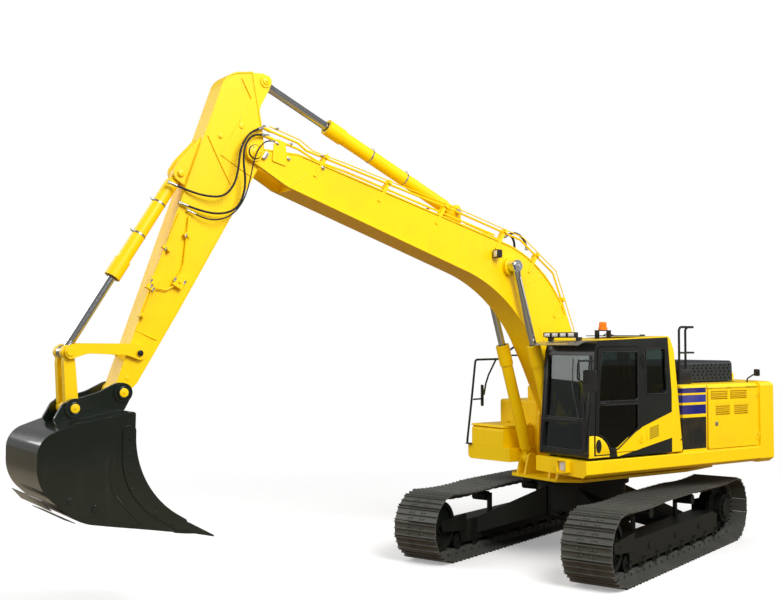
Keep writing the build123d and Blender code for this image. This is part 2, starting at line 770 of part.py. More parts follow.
def cab_shell():
    body = side_slab(cab_outline(0), cab_right, cab_left)
    body = body - side_slab(cab_outline(cab_wall), cab_right + cab_wall, cab_left - cab_wall)
    body = body - (window_prisms(0) + [side_slab(door_opening, cab_left - 72, cab_left + 28)])
    mounts = []
    for x in (cab_front - 160, cab_rear + 160):
        for y in (cab_right + 120, cab_left - 120):
            mounts.append(column(x, y, 55, deck_top + seat_gap, cab_floor + 2))
    wall_side = cab_left - cab_hinge_y - 1
    return body + mounts + hinge_half(cab_hinge, cab_hinge_levels, (-34, -3, wall_side, -3), False)


pieces["cab_shell"] = cab_shell()


def cab_glass():
    """Panes of a thin skin set inside the wall, cut out by the window outlines."""
    deep = pane_depth + glass_thickness
    skin = side_slab(cab_outline(pane_depth), cab_right + pane_depth, cab_left - pane_depth)
    skin = skin - side_slab(cab_outline(deep), cab_right + deep, cab_left - deep)
    return gathered([skin & prism for prism in window_prisms(seat_gap)])


pieces["cab_glass"] = cab_glass()


door_panes = [
    [(door_rear + 62, 2285, 50), (door_front - 75, 2285, 50), (door_front - 125, door_top - 55, 50),
     (door_rear + 62, door_top - 55, 50)],
    [(door_rear + 62, 1900, 30), (door_front - 430, door_bottom + 60, 30), (door_front - 55, door_bottom + 60, 30),
     (door_front - 72, 2235, 50), (door_rear + 62, 2235, 50)],
]


def door_prisms(gap, y_low, y_high):
    """Prisms of the door's two panes, their outlines moved in by a gap."""
    plane = Plane(origin=(0, y_low, 0), x_dir=(1, 0, 0), z_dir=(0, -1, 0))
    prisms = []
    for corners in door_panes:
        face = offset(rounded(corners), amount=-gap) if gap else rounded(corners)
        prisms.append(extrude(plane * face, amount=y_high - y_low, dir=(0, 1, 0)))
    return prisms


def cab_door():
    door = side_slab([(door_rear, door_bottom, 52), (door_front, door_bottom, 32),
                      (door_front - 70, door_top, 52), (door_rear, door_top, 52)],
                     door_outer - door_thickness, door_outer)
    door = door - door_prisms(0, door_outer - door_thickness - 1, door_outer + 1)
    return door + hinge_half(cab_hinge, cab_hinge_levels, door_leaf, True)


pieces["cab_door"] = cab_door()
pieces["door_glass"] = gathered(door_prisms(seat_gap, cab_left - 12, cab_left - 12 + glass_thickness))


def seat():
    middle = (cab_left + cab_right) / 2
    floor = cab_floor + cab_wall + seat_gap
    base = block(-180, 260, middle - 190, middle + 190, floor, floor + 280)
    cushion = side_slab([(-200, floor + 290, 40), (330, floor + 290, 60), (330, floor + 420, 60),
                         (-200, floor + 390, 40)], middle - 250, middle + 250)
    back = side_slab([(-190, floor + 380, 30), (-60, floor + 385, 30), (-150, floor + 1010, 60),
                      (-270, floor + 1000, 60)], middle - 240, middle + 240)
    rest = side_slab([(-262, floor + 1020, 30), (-165, floor + 1030, 30), (-190, floor + 1220, 40),
                      (-270, floor + 1210, 40)], middle - 130, middle + 130)
    post = block(-235, -205, middle - 60, middle + 60, floor + 990, floor + 1030)
    consoles = []
    for side in (-1, 1):
        y = middle + side * 330
        arm = side_slab([(-150, floor, 0), (240, floor, 0), (420, floor + 500, 60), (400, floor + 560, 40),
                         (-150, floor + 520, 40)], y - 65, y + 65)
        lever = column(330, y, 14, floor + 540, floor + 640)
        grip = column(330, y, 30, floor + 630, floor + 760)
        consoles.append(arm + lever + grip)
    pad = block(-60, 60, middle - 60, middle + 60, floor + 275, floor + 300)
    return joined([base, pad, cushion, back, rest, post]), gathered(consoles)


chair, consoles = seat()
pieces["seat"] = chair
pieces["cab_consoles"] = consoles


# Hydraulic cylinders, drawn along X from the foot pin
tube_bottom = 30.0


def cylinder_tube(length, bore, wall, rod, eye_radius, eye_pin, collar_length):
    """Tube with its foot eye and gland, open for the rod. Length is to the gland's face."""
    outer = bore + wall
    start = eye_radius + tube_stand_off
    profile = [
        (start, 0), (start, outer * 0.8), (start + 40, outer), (length - collar_length, outer),
        (length - collar_length, outer + 14), (length, outer + 14), (length, rod + pin_clearance),
        (length - 90, rod + pin_clearance), (length - 90, bore), (start + tube_bottom, bore),
        (start + tube_bottom, 0),
    ]
    face = make_face(Polyline(*[(x, r, 0) for x, r in profile], close=True).edges())
    tube = revolve(face, axis=Axis.X)
    eye = disc(0, 0, eye_radius, -cylinder_eye_half_width, cylinder_eye_half_width)
    neck = block(eye_radius * 0.5, start + 20, -cylinder_eye_half_width + 6, cylinder_eye_half_width - 6,
                 -outer * 0.7, outer * 0.7)
    return tube + eye + neck - disc(0, 0, eye_pin + pin_clearance, -200, 200)


def cylinder_rod(start, length, rod, eye_radius, eye_half_width):
    """Rod from inside the tube to its eye."""
    bar = Pos((start + length) / 2, 0, 0) * Rot(0, 90, 0) * Cylinder(rod, length - start)
    bar = bar - Pos(length, 0, 0) * Box(2 * eye_radius * 0.6, 400, 400)
    neck = Pos(length - eye_radius - 30, 0, 0) * Rot(0, 90, 0) * Cone(rod, rod * 1.15, 80)
    return bar + neck + disc(length, 0, eye_radius, -eye_half_width, eye_half_width)


def span(a, b):
    return math.hypot(b[0] - a[0], b[1] - a[1])


def heading(a, b):
    return math.degrees(math.atan2(b[1] - a[1], b[0] - a[0]))


nose = carried(boom_foot, boom_angle, (boom_length, 0))
bucket_pin = carried(nose, arm_angle, (arm_length, 0))
rocker_base = carried(nose, arm_angle, rocker_pin)
link_top = (bucket_pin[0] + link_pin[0], bucket_pin[1] + link_pin[1])
link_low = (bucket_pin[0] + bucket_link_pin[0], bucket_pin[1] + bucket_link_pin[1])

boom_rod_pin = carried(boom_foot, boom_angle, boom_cylinder_pin)
arm_tube_pin = carried(boom_foot, boom_angle, arm_cylinder_foot)
arm_rod_pin = carried(nose, arm_angle, arm_cylinder_pin)
bucket_tube_pin = carried(nose, arm_angle, bucket_cylinder_foot)

# Boom cylinders, one each side
boom_reach = span(boom_cylinder_foot, boom_rod_pin)
boom_tube_length = 1740.0
tube = cylinder_tube(boom_tube_length, 70, 14, 50, 92, 45, 300)
rod = cylinder_rod(boom_tube_length - boom_rod_inside, boom_reach, 50, 88, cylinder_eye_half_width)
cap = disc(boom_reach, 0, 62, -cylinder_eye_half_width - 6, cylinder_eye_half_width + 16)
place = frame_at(boom_cylinder_foot, heading(boom_cylinder_foot, boom_rod_pin))
left_tube = Pos(0, boom_cylinder_side, 0) * (place * tube)
left_rod = Pos(0, boom_cylinder_side, 0) * (place * (rod + cap))
pieces["boom_cylinder_tubes"] = gathered([left_tube, mirror(left_tube, about=Plane.XZ)])
pieces["boom_cylinder_rods"] = gathered([left_rod, mirror(left_rod, about=Plane.XZ)])

# Arm cylinder, on the boom's back
arm_reach = span(arm_tube_pin, arm_rod_pin)
arm_tube_length = 2230.0
place = frame_at(arm_tube_pin, heading(arm_tube_pin, arm_rod_pin))
pieces["arm_cylinder_tube"] = place * cylinder_tube(arm_tube_length, 75, 15, 52, 92, 45, 260)
pieces["arm_cylinder_rod"] = place * cylinder_rod(arm_tube_length - arm_rod_inside, arm_reach, 52, 88, cylinder_eye_half_width)

# Bucket cylinder, on the arm's front
bucket_reach = span(bucket_tube_pin, link_top)
bucket_tube_length = 1440.0
place = frame_at(bucket_tube_pin, heading(bucket_tube_pin, link_top))
pieces["bucket_cylinder_tube"] = place * cylinder_tube(bucket_tube_length, 65, 14, 45, 78, 42, 230)
pieces["bucket_cylinder_rod"] = place * cylinder_rod(
    bucket_tube_length - bucket_rod_inside, bucket_reach, 45, 74, cylinder_eye_half_width)


# Boom: a bent box girder with flanges that stand a little proud of its webs
flange_overhang = 14.0
boom_corners = [
    (40, -145, 0), (1934, 852, 2170), (boom_length - 589, -72, 200), (boom_length - 39, -104, 0),
    (boom_length + 66, 30, 0), (boom_length - 486, 362, 150), (1241, 1731, 1800), (-90, 118, 0),
]


def boom():
    half = boom_half_width + flange_overhang
    body = side_slab(boom_corners, -half, half)
    plane = Plane(origin=(0, 0, 0), x_dir=(1, 0, 0), z_dir=(0, -1, 0))
    inner_face = offset(rounded(boom_corners), amount=-18)
    for side in (-1, 1):
        pocket = extrude(plane * inner_face, amount=flange_overhang + 20, dir=(0, 1, 0))
        start = boom_half_width if side > 0 else -half - 20
        pocket = Pos(0, start, 0) * pocket
        keep = block(-400, 700, -1000, 1000, -400, 3000)
        body = body - (pocket - keep)
    foot = disc(0, 0, 150, -boom_foot_half_width, boom_foot_half_width)
    flare = plan_slab([(0, -boom_foot_half_width, 0), (160, -boom_foot_half_width, 0), (900, -half, 0),
                       (900, half, 0), (160, boom_foot_half_width, 0), (0, boom_foot_half_width, 0)], -400, 1400)
    flare = flare & side_slab(boom_corners, -400, 400)
    past_nose = boom_length + 251
    nose_cut = block(boom_length - 559, past_nose, nose_half_width, 400, -400, 800)
    body = body + foot + flare
    body = body - nose_cut - mirror(nose_cut, about=Plane.XZ)
    body = body - block(boom_length - 669, past_nose, -fork_inner, fork_inner, -500, 900)
    boss_y = nose_half_width + 20
    for side in (-1, 1):
        y_low, y_high = ordered(side * fork_inner, side * boss_y)
        body = body + disc(boom_length, 0, 108, y_low, y_high)
        y_low, y_high = ordered(side * boom_half_width, side * (boom_cylinder_side - cylinder_eye_half_width - 12))
        body = body + disc(*boom_cylinder_pin, 128, y_low, y_high)
    a, w = arm_cylinder_foot
    ear = [(a - 230, w - 260, 0), (a + 125, w - 330, 0), (a + lug_radius, w, 60),
           (a + lug_radius, w + lug_radius, lug_radius - 1), (a - lug_radius, w + lug_radius, lug_radius - 1),
           (a - lug_radius, w, 60)]
    for side in (-1, 1):
        y_low, y_high = ordered(side * (cylinder_eye_half_width + side_gap),
                               side * (cylinder_eye_half_width + side_gap + 40))
        body = body + side_slab(ear, y_low, y_high)
    body = body + disc(a, w, 45, -cylinder_eye_half_width - 60, cylinder_eye_half_width + 60)
    body = body + disc(boom_length, 0, nose_pin_radius, -boss_y - 12, boss_y + 12)
    return body - disc(0, 0, boom_foot_pin_radius + pin_clearance, -400, 400)


at_boom = frame_at(boom_foot, boom_angle)
boom_body = boom()
pieces["boom"] = at_boom * boom_body


# Arm: a tapered box with a bracket for the arm cylinder and ears for the
# bucket cylinder
arm_corners = [
    (-858, 481, 0), (-384, 78, 60), (-110, -125, 0), (60, -158, 0), (arm_length - 1174, -138, 0),
    (arm_length - 174, -112, 60), (arm_length, -60, 0), (arm_length, 88, 0), (-634, 758, 280),
]


def arm():
    half = arm_half_width
    body = side_slab(arm_corners, -half, half)
    inner_face = offset(rounded(arm_corners), amount=-16)
    plane = Plane(origin=(0, 0, 0), x_dir=(1, 0, 0), z_dir=(0, -1, 0))
    pocket = extrude(plane * inner_face, amount=30, dir=(0, 1, 0))
    keep = block(-330, 260, -1000, 1000, -400, 330)
    keep = keep + block(arm_length - 674, arm_length + 266, -1000, 1000, -400, 600)
    for start in (half - 10, -half + 10 - 30):
        body = body - (Pos(0, start, 0) * pocket - keep)
    body = body + disc(0, 0, 160, -half, half) + disc(arm_length, 0, 110, -half, half)
    a, w = arm_cylinder_pin
    bracket = [(-858 + 5, 481 + 5, 0), (a - 62, w + 82, 60), (a - 95, w - 70, 80), (a + 70, w - 88, 60),
               (-560, 168, 200), (-384 + 10, 78 - 8, 0), (-384 + 60, 140, 0), (-800, 500, 0)]
    for side in (-1, 1):
        y_low, y_high = ordered(side * (cylinder_eye_half_width + side_gap),
                               side * (cylinder_eye_half_width + side_gap + 45))
        body = body + side_slab(bracket, y_low, y_high)
        y_low, y_high = ordered(side * (cylinder_eye_half_width + side_gap),
                               side * (cylinder_eye_half_width + side_gap + 62))
        body = body + disc(a, w, 74, y_low, y_high)
    a, w = bucket_cylinder_foot
    ear = [(120, 600, 0), (a - 160, w + 88, 260), (a + 20, w + 98, 90), (a + 88, w + 20, 60), (a + 96, 480, 0),
           (a, 420, 0), (200, 500, 0)]
    for side in (-1, 1):
        y_low, y_high = ordered(side * (cylinder_eye_half_width + side_gap),
                               side * (cylinder_eye_half_width + side_gap + 40))
        body = body + side_slab(ear, y_low, y_high)
    body = body + disc(a, w, 42, -cylinder_eye_half_width - 66, cylinder_eye_half_width + 66)
    body = body + disc(*rocker_pin, link_pin_radius, -half - 62, half + 62)
    body = body - disc(0, 0, nose_pin_radius + pin_clearance, -400, 400)
    return body - disc(arm_length, 0, bucket_pin_radius + pin_clearance, -400, 400)


at_arm = frame_at(nose, arm_angle)
arm_body = arm()
pieces["arm"] = at_arm * arm_body


# Linkage between bucket cylinder and bucket
rocker_inner = arm_half_width + 10
rocker_thickness = 40.0
rocker_length = span(rocker_base, link_top)


def rocker():
    far = rocker_length
    plate = [(-84, -20, 60), (-20, -84, 60), (150, -22, 300), (far - 190, -10, 300), (far + 4, -82, 60),
             (far + 82, 0, 70), (far, 84, 70), (far - 190, 100, 300), (150, 104, 300), (-30, 86, 60)]
    sides = []
    for side in (-1, 1):
        y_low, y_high = ordered(side * rocker_inner, side * (rocker_inner + rocker_thickness))
        slab = side_slab(plate, y_low, y_high)
        slab = slab - disc(0, 0, link_pin_radius + pin_clearance, -400, 400)
        y_low, y_high = ordered(side * 62, side * (rocker_inner + rocker_thickness + 14))
        sides.append(slab + disc(rocker_length, 0, link_pin_radius, y_low, y_high))
    return gathered(sides)


rocker_angle = heading(rocker_base, link_top)
pieces["tension_link"] = frame_at(rocker_base, rocker_angle) * rocker()

bucket_link_length = span(link_top, link_low)


def bucket_link():
    half = arm_half_width - 2
    length = bucket_link_length
    low = disc(length, 0, 78, -half, half)
    plate = [(-70, -40, 40), (-70, 40, 40), (120, 62, 100), (length - 60, 70, 60), (length + 30, 60, 40),
             (length + 30, -60, 40), (length - 60, -70, 60), (120, -62, 100)]
    cheeks = []
    for side in (-1, 1):
        y_low, y_high = ordered(side * 66, side * half)
        cheek = side_slab(plate, y_low, y_high) + disc(0, 0, 76, y_low, y_high)
        cheeks.append(cheek)
    web = block(260, length, -70, 70, -30, 30)
    body = cheeks[0] + cheeks[1] + web + low
    return body - disc(0, 0, link_pin_radius + pin_clearance, -400, 400)


pieces["bucket_link"] = frame_at(link_top, heading(link_top, link_low)) * bucket_link()


# Bucket, in its own frame at the bucket pin
bucket_corners = [
    (-12, -183, 30), (5, -1011, 1020), (-590, -1382, 0), (-640, -1500, 0), (-600, -1534, 0),
    (613, -1317, 620), (1025, -920, 450), (1025, -428, 250), (640, -296, 200),
]


def bucket():
    half = bucket_width / 2
    body = side_slab(bucket_corners, -half, half)
    plane = Plane(origin=(0, 0, 0), x_dir=(1, 0, 0), z_dir=(0, -1, 0))
    inner_face = offset(rounded(bucket_corners), amount=-bucket_wall)
    cavity = extrude(plane * inner_face, amount=bucket_width - 2 * bucket_wall, dir=(0, 1, 0))
    cavity = Pos(0, -half + bucket_wall, 0) * cavity
    mouth = side_slab([(60, -228, 0), (-500, -228, 0), (-1300, -1500, 0), (-640, -1512, 0), (60, -1386, 0)],
                      -half + bucket_wall, half - bucket_wall)
    body = body - cavity - mouth
    ear = [(-20, -190, 0), (-112, -20, 90), (-60, 105, 110), (60, 112, 110), (270, 10, 400),
           (bucket_link_pin[0] - 60, bucket_link_pin[1] + 108, 110), (bucket_link_pin[0] + 115, bucket_link_pin[1] + 60, 110),
           (bucket_link_pin[0] + 250, -330, 60), (700, -330, 0)]
    for side in (-1, 1):
        y_low, y_high = ordered(side * ear_inner, side * (ear_inner + ear_thickness))
        plate = side_slab(ear, y_low, y_high)
        body = body + plate
        for x, z in ((0, 0), bucket_link_pin):
            y_low, y_high = ordered(side * ear_inner, side * (ear_inner + ear_thickness + 22))
            body = body + disc(x, z, 104, y_low, y_high)
    body = body + disc(0, 0, bucket_pin_radius, -ear_inner - ear_thickness - 34, ear_inner + ear_thickness + 34)
    for side in (-1, 1):
        y_low, y_high = ordered(side * half, side * (half + 18))
        cutter = side_slab([(-12, -330, 60), (5, -1011, 1020), (-590, -1382, 0), (-640, -1500, 0), (-480, -1480, 0),
                            (150, -1080, 800), (130, -330, 60)], y_low, y_high)
        body = body + cutter
    return body


at_bucket = Pos(bucket_pin[0], 0, bucket_pin[1])
pieces["bucket"] = at_bucket * bucket()


def bucket_teeth():
    teeth = []
    reach = bucket_width - 130
    for i in range(tooth_count):
        y = -reach / 2 + reach * i / (tooth_count - 1)
        profile = [(-470, -1522, 0), (-540, -1410, 30), (-640, -1426, 0), (-935, -1592, 10), (-925, -1606, 0),
                   (-700, -1552, 40), (-600, -1542, 0)]
        teeth.append(side_slab(profile, y - 55, y + 55))
    return gathered(teeth)


pieces["bucket_teeth"] = gathered([at_bucket * bucket_teeth() - pieces["bucket"]])


# Handrails, mirrors and lamps
rail_radius = 17.0


def tube_run(points, radius, bend):
    """Solid of a bent round bar from rows of x, y, z."""
    return bent_tube([Vector(*point) for point in points], radius, bend)


right_rail = [
    (1035, -1425, deck_top + seat_gap), (1035, -1425, 1560), (965, -1415, 2115), (890, -1400, 2800),
    (392, -1400, 2806), (330, -1400, 2862), (90, -1400, 3000), (-300, -1400, 3010), (-300, -1360, 2181),
]
right_mirror_arm = [(470, -1400, 2806), (560, -1478, 2560), (600, -1500, 2420), (640, -1500, 2240)]
left_rail = [(1240, 1400, 1590), (1395, 1445, 1640), (1400, 1450, 2360), (1345, 1470, 2520), (1325, 1500, 2560)]
left_mirror_arm = [(1150, 1400, 2832), (1470, 1440, 2832), (1480, 1440, 2600), (1345, 1470, 2522)]
rear_rail = [
    (-785, 1200, hood_top + seat_gap), (-785, 1200, 3295), (-1125, 1200, 3295), (-1125, 1030, 3295),
    (-1125, 1030, hood_top + seat_gap),
]


camera_arm = [(-2290, 1230, hood_top - 20), (-2290, 1230, 2520), (-2420, 1290, 2600)]


def hand_rails():
    right = tube_run(right_rail, rail_radius, 45)
    right = right + tube_run([(-300, -1393, 2860), (120, -1400, 2862), (330, -1400, 2850)], rail_radius - 3, 40)
    right = right + tube_run([(925, -1405, 2183), (740, -1470, 2183), (655, -1500, 2183)], rail_radius - 4, 30)
    right = right + tube_run(right_mirror_arm, rail_radius - 3, 40)
    rear = tube_run(rear_rail, rail_radius, 60)
    rear = rear + tube_run([(-785, 1200, 2922), (-1125, 1200, 2922), (-1125, 1030, 2922)], rail_radius - 3, 40)
    for x, y in ((-785, 1200), (-1125, 1030)):
        rear = rear + column(x, y, 38, hood_top + seat_gap, hood_top + 12)
    right = right + column(1035, -1380, 60, deck_top + seat_gap, deck_top + 12)
    left = tube_run(left_rail, rail_radius - 3, 40) + tube_run(left_mirror_arm, rail_radius - 4, 40)
    camera = tube_run(camera_arm, rail_radius - 6, 40)
    rails = []
    for rail in (right, rear, left, camera):
        rails.append(rail - [pieces["cab_shell"], pieces["tool_box"], pieces["left_body"], pieces["fuel_tank"]])
    return gathered(rails)


def mirror_head(place, width, height):
    """Flat mirror housing with rounded corners, facing -X before it is placed."""
    half = width / 2
    head = front_slab([(-half, -height / 2, 30), (half, -height / 2, 30), (half, height / 2, 30),
                       (-half, height / 2, 30)], 0, 32)
    return place * head


pieces["hand_rails"] = hand_rails()
pieces["mirrors"] = gathered([
    mirror_head(Pos(655, -1500, 2235) * Rot(0, 0, -34.5), 190, 330),
    mirror_head(Pos(1340, 1535, 2570) * Rot(0, 0, 12), 190, 290),
    mirror_head(Pos(-2420, 1290, 2610) * Rot(0, 0, 150), 150, 105),
]) - pieces["hand_rails"]


# Work lamps: a bar of four over the windscreen, one on the boom, one at the deck
def lamp(x, y, z, width, height, depth):
    """Lamp housing with a shallow recess for its lens, facing +X."""
    body = block(x - depth, x, y - width / 2, y + width / 2, z - height / 2, z + height / 2)
    body = fillet(body.edges().filter_by(Axis.X), 12)
    return body - block(x - 8, x + 1, y - width / 2 + 10, y + width / 2 - 10, z - height / 2 + 10, z + height / 2 - 10)


def work_lamps():
    lamps = []
    bar = block(1120, 1150, 480, 1110, cab_top - 4, cab_top + 6)
    for i in range(4):
        bar = bar + lamp(1190, 545 + 158 * i, cab_top + 38, 140, 68, 70)
    for y in (520, 1070):
        bar = bar + block(1040, 1130, y - 15, y + 15, cab_top - 60, cab_top + 6)
    lamps.append(bar - pieces["cab_shell"])
    low, high = deck_top - 175, deck_top - 8
    hooded = block(deck_front + seat_gap, deck_front + 75, 935, 1125, low, high)
    hooded = fillet(hooded.edges().filter_by(Axis.X), 14)
    lamps.append(hooded - block(deck_front + 30, deck_front + 76, 950, 1110, low + 14, high - 14))
    return gathered(lamps)


def boom_lamp():
    """Work lamp on a bent bracket from the boom's left web."""
    x, z = boom_lamp_place
    head = lamp(x, boom_half_width + flange_overhang + 62, z, 100, 110, 85)
    foot = boom_half_width + seat_gap
    bracket = block(x - 95, x - 84, foot, boom_half_width + flange_overhang + 92, z - 40, z + 40)
    return head + bracket + block(x - 150, x - 84, foot, foot + 10, z - 50, z + 50)


beacon_rise = 20.0
boom_lamp_place = (1900.0, 4300.0)


def beacon():
    """Amber warning lamp on its bracket over the cab roof."""
    x, y = 660, 1100
    base = cab_top + beacon_rise
    bracket = block(x - 120, x + 120, y - 40, y + 40, base + 70, base + 82)
    for end in (-1, 1):
        bracket = bracket + block(x + end * 112 - 6, x + end * 112 + 6, y - 40, y + 40, base - 80, base + 75)
    lens = column(x, y, 62, base + 81, base + 120) + column(x, y, 52, base + 119, base + 196)
    lens = fillet(lens.faces().sort_by(Axis.Z)[-1].edges(), 22)
    return bracket + lens - pieces["cab_shell"]


# Hard pipes along the boom's back, on posts from its top plate, in its own frame
boom_pipe_runs = [
    # radius, rows of along, y, across
    (15, [(330, 200, 690), (660, 200, 1035), (1400, 200, 1545), (2170, 200, 1585), (3233, 200, 1262),
          (boom_length - 1104, 205, 652), (boom_length - 550, 205, 467), (boom_length - 406, 205, 472),
          (boom_length - 29, 205, 352)]),
    (15, [(2560, 150, 1392), (3233, 150, 1180), (boom_length - 1156, 150, 622), (boom_length - 749, 205, 455),
          (boom_length - 562, 205, 425), (boom_length - 455, 205, 412), (boom_length - 249, 205, 345),
          (boom_length - 119, 205, 292)]),
    (8, [(330, 242, 705), (660, 242, 1070), (1400, 242, 1580), (2170, 242, 1622), (3233, 236, 1298),
         (boom_length - 1083, 206, 688), (boom_length - 632, 206, 524), (boom_length - 402, 206, 520),
         (boom_length + 11, 206, 392)]),
]
pipe_bend = 60.0
pipe_post_places = [1050, 1800, 2470, 3500, 4400, 5330]
pipe_post_depth = 330.0


def row_height(rows, a):
    """Height across of a run of rows at a place along it."""
    for low, high in zip(rows, rows[1:]):
        if low[0] <= a <= high[0]:
            return low[2] + (high[2] - low[2]) * (a - low[0]) / (high[0] - low[0])


right_pipe_end = (2900.0, 2950.0, 2850.0)
fitting_radius = 21.0
hose_fittings = [
    # from and to, rows of along, y, across
    [(6118, 205, 352), (6214, 205, 329)],
    [(6028, 205, 293), (6153, 205, 254)],
    [(5950, 205, 318), (6003, 212, 284)],
]


def boom_pipes():
    runs = []
    for side in (-1, 1):
        for (radius, rows), end in zip(boom_pipe_runs, right_pipe_end):
            if side < 0:
                last = (end, rows[-1][1], row_height(rows, end))
                rows = [row for row in rows if row[0] < end - 200] + [last]
            runs.append(bent_tube([Vector(a, side * y, w) for a, y, w in rows], radius, pipe_bend))
        for a in pipe_post_places:
            if side < 0 and a > max(right_pipe_end):
                continue
            top = row_height(boom_pipe_runs[2][1], a) + 6
            runs.append(block(a - 22, a + 22, *ordered(side * 130, side * 222), top - pipe_post_depth, top))
            runs.append(block(a - 22, a + 22, *ordered(side * 221, side * 248), top - 50, top))
    for row in hose_fittings:
        runs.append(bent_tube([Vector(*point) for point in row], fitting_radius, 0))
    plate = side_slab([(5725, 120, 20), (5905, 60, 20), (6000, 240, 20), (5985, 330, 20), (5880, 360, 20),
                       (5730, 160, 20)], nose_half_width + seat_gap, nose_half_width + 8)
    runs.append(plate)
    runs.append(block(5930, 5990, 190, nose_half_width + 6, 240, 330))
    return joined(runs)


# Hoses from the boom's pipes past the nose pin to the arm and its cylinder
hose_rows = {
    # radius, rows of x, y, z of the machine
    "hose_outer": (13, [(5447, 205, 5655), (5610, 235, 5600), (5742, 285, 5452), (5800, 300, 5310),
                        (5816, 300, 5132), (5863, 296, 4920), (5992, 275, 4768), (6212, 240, 4766),
                        (6420, 196, 4822), (6600, 140, 4900)]),
    "hose_inner": (13, [(5401, 205, 5559), (5520, 225, 5572), (5668, 268, 5500), (5750, 300, 5350),
                        (5754, 300, 5173), (5725, 300, 4990), (5748, 300, 4800), (5838, 288, 4628),
                        (6040, 250, 4562), (6290, 212, 4600), (6490, 196, 4668)]),
    "hose_thin": (8, [(5295, 213, 5504), (5417, 250, 5502), (5536, 292, 5406), (5602, 318, 5292),
                      (5650, 328, 5144), (5682, 330, 4990), (5725, 332, 4840), (5792, 330, 4692),
                      (5905, 308, 4556), (6061, 262, 4492), (6235, 222, 4508), (6390, 196, 4588)]),
}


def hose(radius, rows):
    """Tube of straight runs with a tangent arc at each corner, and its bend radii."""
    points = [Vector(*row) for row in rows]
    bends = []
    for before, here, after in zip(points, points[1:], points[2:]):
        back = (here - before).normalized()
        ahead = (after - here).normalized()
        half_turn = math.acos(max(-1.0, min(1.0, back.dot(ahead)))) / 2
        shorter = min((here - before).length, (after - here).length)
        bends.append(0.45 * shorter / math.tan(half_turn))
    path = FilletPolyline(*points, radius=bends)
    section = Plane(origin=path @ 0, z_dir=path % 0) * Circle(radius)
    return sweep(section, path=path), bends, path.length


for name, (radius, rows) in hose_rows.items():
    solid, bends, length = hose(radius, rows)
    pieces[name] = solid
    print(name, "length", round(length), "tightest bend", round(min(bends)), "share of section times length",
          round(solid.volume / (math.pi * radius ** 2 * length), 4))


# Pipes and valve blocks on the arm's left side, in its own frame
arm_pipe_y = 190.0
arm_pipe_runs = [
    # radius, rows of along, y, across
    (14, [(1130, arm_pipe_y, 420), (1700, arm_pipe_y, 352), (1960, arm_pipe_y, 322)]),
    (14, [(1110, arm_pipe_y, 306), (1632, arm_pipe_y, 82), (1836, arm_pipe_y, 60)]),
    (9, [(2060, arm_pipe_y, 300), (2300, arm_pipe_y, 262), (2400, arm_pipe_y, 240)]),
    (9, [(2060, arm_pipe_y, 268), (2300, arm_pipe_y, 230), (2385, arm_pipe_y, 212)]),
    (9, [(1836, arm_pipe_y, 20), (1990, arm_pipe_y, 120), (2040, arm_pipe_y, 250)]),
]
arm_valves = [
    # along low and high, across low and high
    (1940, 2090, 240, 350),
    (1765, 1900, -30, 95),
    (1560, 1600, 300, 410),
    (1300, 1340, 180, 260),
    (2360, 2410, 198, 256),
]


def arm_pipes():
    """Runs laid on small brackets; the two valve blocks carry their screwed caps."""
    parts = []
    for radius, rows in arm_pipe_runs:
        parts.append(bent_tube([Vector(*row) for row in rows], radius, 30))
    for a_low, a_high, w_low, w_high in arm_valves:
        parts.append(block(a_low, a_high, arm_half_width - 14, arm_pipe_y + 26, w_low, w_high))
        middle = (w_low + w_high) / 2
        parts.append(disc((a_low + a_high) / 2, middle, 15, arm_pipe_y + 25, arm_pipe_y + 40))
    return joined(parts)


pieces["boom_pipes"] = gathered([boom_pipes() - boom_body], at_boom)
pieces["arm_pipes"] = gathered([arm_pipes() - arm_body], at_arm)


# Eyes: two lifting lugs on the counterweight and a towing lug at each end of
# the undercarriage's middle, each a plate with one round hole
eye_radius = 32.0
eye_thickness = 36.0
eye_height = 120.0
eye_width = 130.0


def eye_plate(thickness, height, width):
    """Upright plate with a rounded head and a hole along Y, standing on z 0."""
    plate = side_slab([(-width / 2, 0, 0), (width / 2, 0, 0), (width / 2, height, width * 0.45),
                       (-width / 2, height, width * 0.45)], -thickness / 2, thickness / 2)
    return plate - disc(0, height - width / 2, eye_radius, -thickness, thickness)


lifting_place = (counterweight_front - 330, 620.0, hood_top + 12 + seat_gap)
towing_height = tower_top - 400
towing_root = tower_radius - 40
towing_length = 220.0


def towing_eye(end):
    """Lying lug on the tower's foot, its hole upright."""
    root = Plane(origin=(end * towing_root, 0, towing_height), x_dir=(0, 1, 0), z_dir=(end, 0, 0))
    return root * eye_plate(eye_thickness, towing_length, eye_width) - column(0, 0, tower_radius + seat_gap, 500, 700)


pieces["lifting_eyes"] = gathered([
    Pos(lifting_place[0], side * lifting_place[1], lifting_place[2]) * eye_plate(eye_thickness, eye_height, eye_width)
    for side in (-1, 1)])
pieces["towing_eyes"] = gathered([towing_eye(end) for end in (-1, 1)], turn)
pieces["work_lamps"] = work_lamps()
pieces["boom_lamp"] = gathered([boom_lamp() - pieces["boom"]])
pieces["beacon"] = beacon()


# Writing: everything moves so that the origin is under the middle of the machine
boxes = [shape.bounding_box() for shape in pieces.values()]
low_x, high_x = min(box.min.X for box in boxes), max(box.max.X for box in boxes)
low_y, high_y = min(box.min.Y for box in boxes), max(box.max.Y for box in boxes)
low_z = min(box.min.Z for box in boxes)
shift = Pos(-(low_x + high_x) / 2, -(low_y + high_y) / 2, -low_z)
os.makedirs("parts", exist_ok=True)
for name, shape in pieces.items():
    export_step(gathered([shape], shift), "parts/" + name + ".step")
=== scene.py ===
import json
import math

import bmesh
import bpy
from mathutils import Matrix, Vector

